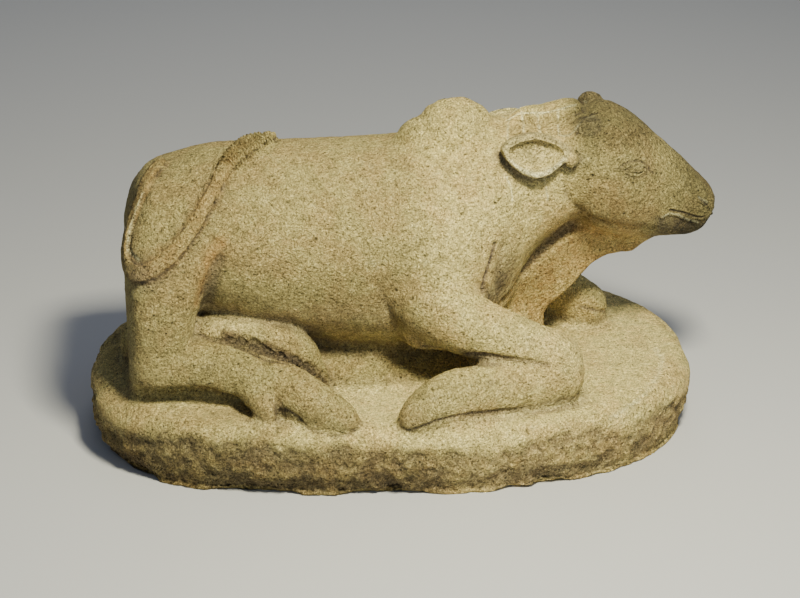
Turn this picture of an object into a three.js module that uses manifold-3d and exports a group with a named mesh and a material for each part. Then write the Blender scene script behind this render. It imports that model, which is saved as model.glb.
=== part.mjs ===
import * as THREE from 'three';
import Module from 'manifold-3d';

// Driving sizes of the oval base, in millimetres
const BASE_LENGTH = 900;
const BASE_WIDTH = 566;
const BASE_HEIGHT = 105;
const BASE_EDGE_RADIUS = 30;
const BASE_FOOT_INSET = 13;
const BASE_REAR_SQUARENESS = 3.0;
const BASE_FRONT_SQUARENESS = 2.25;
const BASE_HEAD_END_FLARE = 0.12;

// The base is drawn on below the ground by this much, then cut flat there
const BASE_BURIED = BASE_HEIGHT / 4;

// The figure keeps its pose as shares of its own length, from rump to nose
const FIGURE_LENGTH = 868;
const MODULE = FIGURE_LENGTH / 868;

// Fineness of the faceted skin
const LATTICE_STEP = 13.5;
const FACET_BUDGET = 9500;

// Beyond this distance from its own box a form only answers with the distance to that box
const FAR = 60 * MODULE;

// Figure points are given in modules, with the height counted from the top of the base
const at = (x, y, z) => new THREE.Vector3(x * MODULE, y * MODULE, BASE_HEIGHT + z * MODULE);

// Blends between two distance values, with the reach of the blend in modules
function softMin(a, b, reach) {
  const k = reach * MODULE;
  const h = Math.max(k - Math.abs(a - b), 0);
  return Math.min(a, b) - (h * h) / (4 * k);
}

function softMax(a, b, reach) {
  return -softMin(-a, -b, reach);
}

// Intersection of two half spaces with a true round edge
function roundMax(a, b, r) {
  const u = Math.max(a + r, 0);
  const v = Math.max(b + r, 0);
  return Math.min(Math.max(a, b), -r) + Math.hypot(u, v);
}

// Smooth table through stations given as rows of numbers, first column ascending
function profile(rows, steps = 12) {
  const columns = rows[0].length;
  const table = [];
  for (let i = 0; i < rows.length - 1; i += 1) {
    const p1 = rows[i];
    const p2 = rows[i + 1];
    const p0 = rows[i - 1] ?? p1.map((v, c) => 2 * v - p2[c]);
    const p3 = rows[i + 2] ?? p2.map((v, c) => 2 * v - p1[c]);
    for (let s = 0; s < steps; s += 1) {
      const t = s / steps;
      const x = p1[0] + (p2[0] - p1[0]) * t;
      const row = [x];
      for (let c = 1; c < columns; c += 1) {
        const span = p2[0] - p1[0];
        const m1 = ((p2[c] - p0[c]) / (p2[0] - p0[0])) * span;
        const m2 = ((p3[c] - p1[c]) / (p3[0] - p1[0])) * span;
        const t2 = t * t;
        const t3 = t2 * t;
        row.push((2 * t3 - 3 * t2 + 1) * p1[c] + (t3 - 2 * t2 + t) * m1
          + (3 * t2 - 2 * t3) * p2[c] + (t3 - t2) * m2);
      }
      table.push(row);
    }
  }
  table.push(rows[rows.length - 1].slice());
  return (x, out) => {
    let lo = 0;
    let hi = table.length - 1;
    const q = Math.min(Math.max(x, table[0][0]), table[hi][0]);
    while (hi - lo > 1) {
      const mid = (lo + hi) >> 1;
      if (table[mid][0] > q) {
        hi = mid;
      } else {
        lo = mid;
      }
    }
    const t = (q - table[lo][0]) / (table[hi][0] - table[lo][0]);
    for (let c = 1; c < columns; c += 1) {
      out[c - 1] = table[lo][c] + (table[hi][c] - table[lo][c]) * t;
    }
    return out;
  };
}

// Radial distance to a superellipse of half sizes a and b
function ovalDistance(u, v, a, b, n) {
  const f = n === 2 ? Math.hypot(u / a, v / b) : (Math.abs(u / a) ** n + Math.abs(v / b) ** n) ** (1 / n);
  if (f < 1e-4) {
    return -Math.min(a, b);
  }
  const r = Math.hypot(u, v);
  return r - r / f;
}

// Body of oval sections across the X axis: rows of x, top, bottom, half width
function sectionLoft(rows, squareness, rearRound, frontRound) {
  const scaled = rows.map(([x, top, bottom, half]) => [
    x * MODULE,
    BASE_HEIGHT + top * MODULE,
    BASE_HEIGHT + bottom * MODULE,
    half * MODULE,
  ]);
  const look = profile(scaled);
  const first = scaled[0][0];
  const last = scaled[scaled.length - 1][0];
  const out = [0, 0, 0];
  return (x, y, z) => {
    look(x, out);
    const middle = (out[0] + out[1]) / 2;
    const d = ovalDistance(y, z - middle, out[2], (out[0] - out[1]) / 2, squareness);
    const rear = roundMax(d, first - x, rearRound * MODULE);
    return roundMax(rear, x - last, frontRound * MODULE);
  };
}

// Flat slot in the shape of a section loft, standing to one side of the axis
function sectionLoftAlong(rows, offset) {
  const slot = sectionLoft(rows, 2.6, 2, 4);
  return (x, y, z) => slot(x, y - offset * MODULE, z);
}

// Limb that follows a smooth curve: rows of x, y, z, radius
function limb(rows, spanSteps = 5, flatness = 1) {
  const curve = new THREE.CatmullRomCurve3(rows.map(([x, y, z]) => at(x, y, z)), false, 'catmullrom', 0.5);
  const girth = new THREE.CatmullRomCurve3(
    rows.map((row) => new THREE.Vector3(row[3] * MODULE, 0, 0)), false, 'catmullrom', 0.5);
  const count = (rows.length - 1) * spanSteps;
  const points = [];
  for (let i = 0; i <= count; i += 1) {
    const p = curve.getPoint(i / count);
    points.push([p.x, p.y, p.z, Math.max(girth.getPoint(i / count).x, MODULE)]);
  }
  return chain(points, flatness);
}

// Run of round joints; a flatness below one draws the under side down, above one lifts it
function chain(points, flatness = 1) {
  const box = new THREE.Box3();
  for (const [x, y, z, r] of points) {
    box.expandByPoint(new THREE.Vector3(x - r, y - r, z - r / flatness));
    box.expandByPoint(new THREE.Vector3(x + r, y + r, z + r));
  }
  return (x, y, z) => {
    const outX = Math.max(box.min.x - x, x - box.max.x, 0);
    const outY = Math.max(box.min.y - y, y - box.max.y, 0);
    const outZ = Math.max(box.min.z - z, z - box.max.z, 0);
    const away = Math.hypot(outX, outY, outZ);
    if (away > FAR) {
      return away;
    }
    let best = Infinity;
    for (let i = 0; i < points.length - 1; i += 1) {
      const a = points[i];
      const b = points[i + 1];
      const ux = b[0] - a[0];
      const uy = b[1] - a[1];
      const uz = b[2] - a[2];
      const t = Math.min(Math.max(
        ((x - a[0]) * ux + (y - a[1]) * uy + (z - a[2]) * uz) / (ux * ux + uy * uy + uz * uz), 0), 1);
      const rise = z - a[2] - uz * t;
      const d = Math.hypot(x - a[0] - ux * t, y - a[1] - uy * t, rise * (rise > 0 ? 1 : flatness))
        - (a[3] + (b[3] - a[3]) * t);
      best = Math.min(best, d);
    }
    return best;
  };
}

// Keeps a form to its own box
function within(low, high, form) {
  const a = at(...low);
  const b = at(...high);
  return (x, y, z) => {
    const away = Math.hypot(Math.max(a.x - x, x - b.x, 0), Math.max(a.y - y, y - b.y, 0),
      Math.max(a.z - z, z - b.z, 0));
    return away > FAR ? away : form(x, y, z);
  };
}

// Egg shape with its own turned axes
function egg(centre, radii, turn = [0, 0, 0]) {
  const c = at(...centre);
  const r = radii.map((v) => v * MODULE);
  const m = new THREE.Matrix4().makeRotationFromEuler(new THREE.Euler(...turn.map(THREE.MathUtils.degToRad)));
  const e = m.elements;
  return (x, y, z) => {
    const dx = x - c.x;
    const dy = y - c.y;
    const dz = z - c.z;
    const u = (e[0] * dx + e[1] * dy + e[2] * dz) / r[0];
    const v = (e[4] * dx + e[5] * dy + e[6] * dz) / r[1];
    const w = (e[8] * dx + e[9] * dy + e[10] * dz) / r[2];
    const k0 = Math.hypot(u, v, w);
    const k1 = Math.hypot(u / r[0], v / r[1], w / r[2]);
    return k1 < 1e-9 ? -Math.min(...r) : (k0 * (k0 - 1)) / k1;
  };
}

// Oval base with a soft top edge
function planDistance(x, y) {
  const a = BASE_LENGTH / 2;
  const plan = (px, py) => {
    const b = (BASE_WIDTH / 2) * (1 + (BASE_HEAD_END_FLARE * px) / a);
    const n = px < 0 ? BASE_REAR_SQUARENESS : BASE_FRONT_SQUARENESS;
    return (Math.abs(px / a) ** n + Math.abs(py / b) ** n) ** (1 / n);
  };
  const f = plan(x, y);
  const e = BASE_LENGTH / 1800;
  const slope = Math.hypot(plan(x + e, y) - plan(x - e, y), plan(x, y + e) - plan(x, y - e)) / (2 * e);
  return (f - 1) / Math.max(slope, 1 / BASE_LENGTH);
}

function baseField(x, y, z) {
  if (z > BASE_HEIGHT + FAR) {
    return z - BASE_HEIGHT;
  }
  const middle = BASE_HEIGHT * 0.5;
  const low = THREE.MathUtils.clamp((middle - z) / middle, 0, 1);
  const high = Math.max(z - middle, 0) / middle;
  const side = planDistance(x, y) + BASE_FOOT_INSET * low * low + BASE_FOOT_INSET * 0.4 * high * high;
  return Math.max(roundMax(side, z - BASE_HEIGHT, BASE_EDGE_RADIUS), -z - BASE_BURIED);
}

// Torso from the rump to the chest
const torso = sectionLoft([
  [-386, 250, 90, 126],
  [-366, 282, 92, 140],
  [-340, 302, 92, 148],
  [-300, 315, 92, 151],
  [-262, 324, 84, 151],
  [-213, 327, 67, 151],
  [-142, 328, 42, 151],
  [-70, 328, 25, 151],
  [0, 330, 16, 152],
  [80, 335, 22, 149],
  [125, 336, 34, 136],
  [160, 334, 52, 112],
  [190, 320, 76, 84],
], 2, 40, 46);

// Ground that rises under the belly
const mound = sectionLoft([
  [-250, 46, -46, 60],
  [-150, 50, -50, 100],
  [0, 50, -50, 112],
  [110, 52, -52, 96],
  [200, 60, -60, 62],
], 2, 30, 30);

// Neck, cheeks and skull
const neck = within([60, -170, 20], [330, 170, 420], sectionLoft([
  [90, 330, 80, 134],
  [135, 344, 108, 114],
  [180, 360, 142, 93],
  [225, 368, 178, 84],
  [270, 366, 208, 80],
  [300, 360, 220, 76],
], 2.3, 50, 40));

const head = within([220, -110, 150], [490, 110, 400], sectionLoft([
  [242, 330, 252, 62],
  [258, 350, 218, 80],
  [282, 362, 193, 88],
  [314, 369, 177, 87],
  [352, 351, 170, 77],
  [390, 317, 166, 60],
  [432, 279, 164, 48],
  [450, 260, 169, 46],
  [461, 249, 177, 44],
  [470, 241, 194, 38],
  [478, 233, 216, 24],
], 2.2, 18, 9));

const humpTop = egg([98, 0, 334], [56, 52, 55]);
const humpBack = egg([58, 0, 322], [44, 44, 40]);

const crest = within([140, -60, 310], [290, 60, 390], sectionLoft([
  [158, 350, 320, 44],
  [190, 366, 335, 46],
  [230, 371, 340, 46],
  [272, 371, 340, 42],
], 3.5, 12, 12));

// Hanging skin under the throat: a plate bounded by its wavy free edge
const dewlapEdge = new THREE.CatmullRomCurve3([
  at(404, 0, 170), at(378, 0, 152), at(360, 0, 139), at(340, 0, 137), at(322, 0, 134), at(301, 0, 122),
  at(284, 0, 104), at(272, 0, 88), at(252, 0, 68), at(232, 0, 47), at(231, 0, -10),
], false, 'catmullrom', 0.5);
const dewlapOutline = [...dewlapEdge.getPoints(40), at(120, 0, -10), at(120, 0, 200), at(300, 0, 260), at(410, 0, 240)];

function dewlap(x, y, z) {
  const away = Math.max(120 * MODULE - x, x - 420 * MODULE, Math.abs(y) - 40 * MODULE, 0);
  if (away > FAR) {
    return away;
  }
  let best = Infinity;
  let inside = false;
  const n = dewlapOutline.length;
  for (let i = 0, j = n - 1; i < n; j = i, i += 1) {
    const a = dewlapOutline[i];
    const b = dewlapOutline[j];
    const ex = b.x - a.x;
    const ez = b.z - a.z;
    const t = Math.min(Math.max(((x - a.x) * ex + (z - a.z) * ez) / (ex * ex + ez * ez), 0), 1);
    best = Math.min(best, Math.hypot(x - a.x - ex * t, z - a.z - ez * t));
    if (a.z > z !== b.z > z && x < a.x + (ex * (z - a.z)) / ez) {
      inside = !inside;
    }
  }
  const d = inside ? -best : best;
  const half = (10 + 40 * THREE.MathUtils.smoothstep(-d / MODULE, 0, 130)) * MODULE;
  return roundMax(d, Math.abs(y) - half, 8 * MODULE);
}

// A shape made on the near side and again on the far side
function mirrored(make) {
  const near = make(-1);
  const far = make(1);
  return (x, y, z) => Math.min(near(x, y, z), far(x, y, z));
}

// Vertical haunch: rows of height, rear edge, front edge, outer face
function haunch(side) {
  const look = profile([
    [-20, -386, -318, 150],
    [30, -388, -306, 164],
    [80, -388, -296, 172],
    [125, -387, -286, 174],
    [165, -386, -272, 171],
    [205, -384, -260, 161],
    [245, -376, -252, 138],
    [285, -360, -262, 96],
  ].map((row) => row.map((v) => v * MODULE)));
  const out = [0, 0, 0];
  return (x, y, z) => {
    const h = z - BASE_HEIGHT;
    look(h, out);
    const cx = (out[0] + out[1]) / 2;
    const a = (out[1] - out[0]) / 2;
    const b = out[2] / 2;
    if (Math.abs(h - 140 * MODULE) > 230 * MODULE || Math.abs(x - cx) > a + 70 * MODULE) {
      return FAR;
    }
    const d = ovalDistance(x - cx, y - side * b, a, b, 3.2);
    return Math.max(roundMax(d, h - 280 * MODULE, 50 * MODULE), -20 * MODULE - h);
  };
}

// On the far side the thigh rolls forward over the leg tucked below the belly
const farThigh = egg([-292, 112, 78], [92, 66, 96], [0, 18, 0]);
const rearBlock = sectionLoft([[-380, 150, -20, 118], [-340, 150, -20, 118], [-290, 150, -20, 80]], 3, 26, 30);

function shoulder(side) {
  const look = profile([
    [60, -2, 96, 160],
    [110, -10, 106, 166],
    [160, -26, 114, 163],
    [215, -36, 128, 150],
    [260, -30, 130, 128],
  ].map((row) => row.map((v) => v * MODULE)));
  const out = [0, 0, 0];
  return (x, y, z) => {
    const h = z - BASE_HEIGHT;
    look(h, out);
    const cx = (out[0] + out[1]) / 2;
    const a = (out[1] - out[0]) / 2;
    const b = out[2] / 2;
    if (Math.abs(h - 160 * MODULE) > 170 * MODULE || Math.abs(x - cx) > a + 70 * MODULE) {
      return FAR;
    }
    const d = ovalDistance(x - cx, y - side * b, a, b, 3.2);
    return roundMax(roundMax(d, h - 260 * MODULE, 30 * MODULE), 60 * MODULE - h, 20 * MODULE);
  };
}

// Near legs, folded with the feet together at the edge of the base
const nearShank = limb([
  [-346, -138, 53, 40], [-285, -145, 55, 37], [-225, -157, 47, 36],
  [-174, -180, 32, 36], [-135, -220, 25, 33], [-102, -240, 13, 25], [-88, -247, 6, 19],
], 5, 0.7);
const nearDewclaw = limb([[-214, -186, 26, 20], [-206, -206, 16, 16], [-201, -222, 8, 11]], 4, 0.6);
const farShank = limb([
  [-366, 2, 28, 38], [-325, -62, 52, 38], [-286, -102, 74, 34], [-254, -112, 84, 32], [-222, -118, 80, 31],
  [-188, -128, 70, 35], [-158, -124, 55, 38], [-137, -130, 37, 27], [-121, -136, 21, 17], [-111, -141, 11, 9],
], 3, 0.45);
const nearForearm = limb([[40, -130, 130, 56], [90, -157, 105, 47], [150, -176, 84, 40], [214, -186, 58, 38]]);
const nearCannon = limb([
  [216, -190, 36, 40], [170, -200, 30, 40], [120, -214, 28, 38], [64, -228, 28, 37],
  [24, -246, 20, 31], [3, -254, 10, 23],
], 5, 0.75);
const nearFold = limb([[60, -262, 78, 6], [110, -250, 72, 6], [160, -240, 64, 5], [196, -232, 54, 3]]);
const farForearm = limb([[70, 130, 130, 56], [140, 122, 102, 46], [225, 98, 70, 40], [306, 70, 26, 34]]);
const farCannon = limb([
  [306, 68, 10, 32], [250, 105, 22, 36], [190, 155, 24, 36], [125, 205, 22, 32], [75, 240, 8, 20],
], 5, 0.6);

// Leaf shaped ear with a hollow face and a raised rim
function ear(side) {
  const c = at(188, side * 88, 313 - side * 4);
  const lean = THREE.MathUtils.degToRad(14);
  return (x, y, z) => {
    const dx = (x - c.x) / MODULE;
    const dy = (side * (y - c.y)) / MODULE;
    const dz = (z - c.z) / MODULE;
    const out = dy * Math.cos(lean) + dz * Math.sin(lean) + 0.12 * dx;
    const up = dz * Math.cos(lean) - dy * Math.sin(lean);
    if (Math.abs(dx) > 90 || Math.abs(out) > 60) {
      return FAR;
    }
    const leaf = ovalDistance(dx, up, 48, 29, 1.65);
    const plate = roundMax(leaf, Math.abs(out) - 10, 6);
    const hollow = Math.hypot(Math.max(leaf + 11, 0), out - 11) - 6.5;
    return softMax(plate, -hollow, 4) * MODULE;
  };
}

const horn = (side) => egg([285 + side * 4, side * 42, 356], [17, 15, 17]);
const eye = (side) => egg([347, side * 68, 292], [19, 9, 9]);

// Forms of the trunk, joined from large to small
const ears = within([135, -110, 270], [240, 110, 350], mirrored(ear));
const horns = within([262, -60, 335], [306, 60, 376], mirrored(horn));
const eyes = within([325, -85, 275], [370, 85, 310], mirrored(eye));
const haunches = within([-390, -176, -20], [-240, 176, 290], mirrored(haunch));
const shoulders = within([-40, -168, 55], [132, 168, 262], mirrored(shoulder));

function trunk(x, y, z) {
  let d = torso(x, y, z);
  d = softMin(d, neck(x, y, z), 40);
  d = softMin(d, shoulders(x, y, z), 16);
  d = softMin(d, haunches(x, y, z), 14);
  d = softMin(d, rearBlock(x, y, z), 20);
  return softMin(d, farThigh(x, y, z), 24);
}

// Point moved onto the skin of a field, then sunk below it
function settle(point, field, depth) {
  const p = point.clone();
  const g = new THREE.Vector3();
  for (let i = 0; i < 12; i += 1) {
    const d = field(p.x, p.y, p.z);
    g.set(field(p.x + MODULE, p.y, p.z) - field(p.x - MODULE, p.y, p.z),
      field(p.x, p.y + MODULE, p.z) - field(p.x, p.y - MODULE, p.z),
      field(p.x, p.y, p.z + MODULE) - field(p.x, p.y, p.z - MODULE)).divideScalar(2 * MODULE);
    p.addScaledVector(g, -(d + depth) / Math.max(g.lengthSq(), 0.2));
  }
  return p;
}

// Tail laid down the rump, looped and drawn up over the flank to its tuft on the back
const tailPath = new THREE.CatmullRomCurve3([
  at(-336, -8, 314), at(-362, -48, 284), at(-382, -78, 246), at(-388, -104, 218), at(-378, -138, 204),
  at(-350, -160, 205), at(-324, -164, 222), at(-300, -152, 252), at(-276, -100, 289), at(-252, -50, 317),
  at(-234, 4, 328), at(-212, 30, 328), at(-190, 44, 324),
], false, 'catmullrom', 0.5);
const tailRows = [];
for (let i = 0; i <= 48; i += 1) {
  const t = i / 48;
  const p = settle(tailPath.getPoint(t), trunk, 5 * MODULE);
  const r = t > 0.8 ? 17 : 14.5;
  tailRows.push([p.x, p.y, p.z, r * MODULE]);
}
const tail = chain(tailRows);

// Hollow under the near hind leg and the hollow behind the near foot
const legSlot = within([-450, -240, -30], [-190, -110, 50], sectionLoftAlong([
  [-450, 34, 0, 44], [-340, 36, 0, 44], [-282, 34, 0, 42], [-253, 24, 0, 34], [-230, 14, 0, 26], [-216, 6, 0, 18],
], -190));
const footHollow = limb([[-6, -150, 74, 12], [14, -168, 62, 15], [30, -190, 56, 11]]);
const flankCrease = limb([[-252, -158, 240, 2], [-266, -160, 200, 6], [-278, -158, 165, 9], [-290, -152, 120, 9]]);

function wholeField(x, y, z) {
  const ground = softMin(baseField(x, y, z), mound(x, y, z), 50);
  let d = softMin(trunk(x, y, z), ground, 30);
  d = softMin(d, dewlap(x, y, z), 26);
  d = softMin(d, head(x, y, z), 14);
  d = softMin(d, Math.min(humpTop(x, y, z), humpBack(x, y, z)), 8);
  d = softMin(d, crest(x, y, z), 6);
  d = softMin(d, nearForearm(x, y, z), 12);
  d = softMin(d, nearCannon(x, y, z), 12);
  d = softMax(d, -nearFold(x, y, z), 5);
  d = softMin(d, farForearm(x, y, z), 14);
  d = softMin(d, farCannon(x, y, z), 14);
  d = softMin(d, nearShank(x, y, z), 12);
  d = softMin(d, nearDewclaw(x, y, z), 9);
  d = softMin(d, farShank(x, y, z), 6);
  d = softMin(d, tail(x, y, z), 5);
  d = softMin(d, ears(x, y, z), 5);
  d = softMin(d, horns(x, y, z), 7);
  d = softMin(d, eyes(x, y, z), 5);
  d = softMax(d, -legSlot(x, y, z), 6);
  d = softMax(d, -flankCrease(x, y, z), 8);
  return softMax(d, -footHollow(x, y, z), 5);
}

// Faceted skin of a field on a body centred lattice: four tetrahedra to each face between two cells
function polygonise(field, box, step) {
  const span = box.getSize(new THREE.Vector3());
  const block = 4;
  const cells = [span.x, span.y, span.z].map((v) => block * Math.ceil(v / step / block));
  const [sx, sy, sz] = cells.map((n) => n + 1);
  const half = sx * sy * sz;
  const values = new Float64Array(half * 2);
  const known = new Uint8Array(half * 2);
  const px = (id) => box.min.x + ((id % half) % sx + (id >= half ? 0.5 : 0)) * step;
  const py = (id) => box.min.y + (Math.floor((id % half) / sx) % sy + (id >= half ? 0.5 : 0)) * step;
  const pz = (id) => box.min.z + (Math.floor((id % half) / (sx * sy)) + (id >= half ? 0.5 : 0)) * step;
  const corner = (i, j, k) => i + sx * (j + sy * k);
  const value = (id) => {
    if (!known[id]) {
      values[id] = field(px(id), py(id), pz(id));
      known[id] = 1;
    }
    return values[id];
  };
  const positions = [];
  const triangles = [];
  const crossings = new Map();
  const crossing = (a, b) => {
    const lo = Math.min(a, b);
    const hi = Math.max(a, b);
    const key = lo * half * 2 + hi;
    const old = crossings.get(key);
    if (old !== undefined) {
      return old;
    }
    const p = [px(lo), py(lo), pz(lo)];
    const run = [px(hi) - p[0], py(hi) - p[1], pz(hi) - p[2]];
    let t = values[lo] / (values[lo] - values[hi]);
    const v = field(p[0] + run[0] * t, p[1] + run[1] * t, p[2] + run[2] * t);
    t += v < 0 === values[lo] < 0 ? ((1 - t) * v) / (v - values[hi]) : (-t * v) / (v - values[lo]);
    t = THREE.MathUtils.clamp(t, 0.03, 0.97);
    const index = positions.length / 3;
    positions.push(p[0] + run[0] * t, p[1] + run[1] * t, p[2] + run[2] * t);
    crossings.set(key, index);
    return index;
  };
  // Even reorderings of a tetrahedron that bring each corner, or each pair, to the front
  const lead = [[0, 1, 2, 3], [1, 2, 0, 3], [2, 0, 1, 3], [3, 1, 0, 2]];
  const pairs = { 3: [0, 1, 2, 3], 5: [0, 2, 3, 1], 9: [0, 3, 1, 2], 6: [1, 2, 0, 3], 10: [3, 1, 0, 2], 12: [2, 3, 0, 1] };
  const tetra = (ids) => {
    let mask = 0;
    let count = 0;
    for (let i = 0; i < 4; i += 1) {
      if (values[ids[i]] < 0) {
        mask |= 1 << i;
        count += 1;
      }
    }
    if (count === 1 || count === 3) {
      const single = Math.log2(count === 1 ? mask : 15 - mask);
      const [i, j, k, l] = lead[single].map((n) => ids[n]);
      const [a, b, c] = [crossing(i, j), crossing(i, k), crossing(i, l)];
      triangles.push(...(count === 1 ? [a, b, c] : [a, c, b]));
    } else if (count === 2) {
      const [i, j, k, l] = pairs[mask].map((n) => ids[n]);
      const [a, b, c, d] = [crossing(i, k), crossing(i, l), crossing(j, l), crossing(j, k)];
      triangles.push(a, b, c, a, c, d);
    }
  };
  const faces = [
    [[-1, 0, 0], [[0, 0, 0], [0, 0, 1], [0, 1, 1], [0, 1, 0]]],
    [[0, -1, 0], [[0, 0, 0], [1, 0, 0], [1, 0, 1], [0, 0, 1]]],
    [[0, 0, -1], [[0, 0, 0], [0, 1, 0], [1, 1, 0], [1, 0, 0]]],
  ];
  const cell = (i, j, k) => {
    const here = half + corner(i, j, k);
    for (const [[di, dj, dk], ring] of faces) {
      const there = half + corner(i + di, j + dj, k + dk);
      const around = ring.map(([a, b, c]) => corner(i + a, j + b, k + c));
      const signs = around.reduce((n, id) => n + (value(id) < 0), 0) + (value(here) < 0) + (value(there) < 0);
      if (signs > 0 && signs < 6) {
        for (let s = 0; s < 4; s += 1) {
          tetra([here, there, around[s], around[(s + 1) % 4]]);
        }
      }
    }
  };
  const far = (block + 1) * step;
  for (let k0 = 0; k0 < cells[2]; k0 += block) {
    for (let j0 = 0; j0 < cells[1]; j0 += block) {
      for (let i0 = 0; i0 < cells[0]; i0 += block) {
        const h = (block / 2) * step;
        const d = field(box.min.x + i0 * step + h, box.min.y + j0 * step + h, box.min.z + k0 * step + h);
        if (Math.abs(d) > far) {
          continue;
        }
        for (let k = Math.max(k0, 1); k < k0 + block; k += 1) {
          for (let j = Math.max(j0, 1); j < j0 + block; j += 1) {
            for (let i = Math.max(i0, 1); i < i0 + block; i += 1) {
              cell(i, j, k);
            }
          }
        }
      }
    }
  }
  return { positions: Float64Array.from(positions), triangles: Uint32Array.from(triangles) };
}

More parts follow.
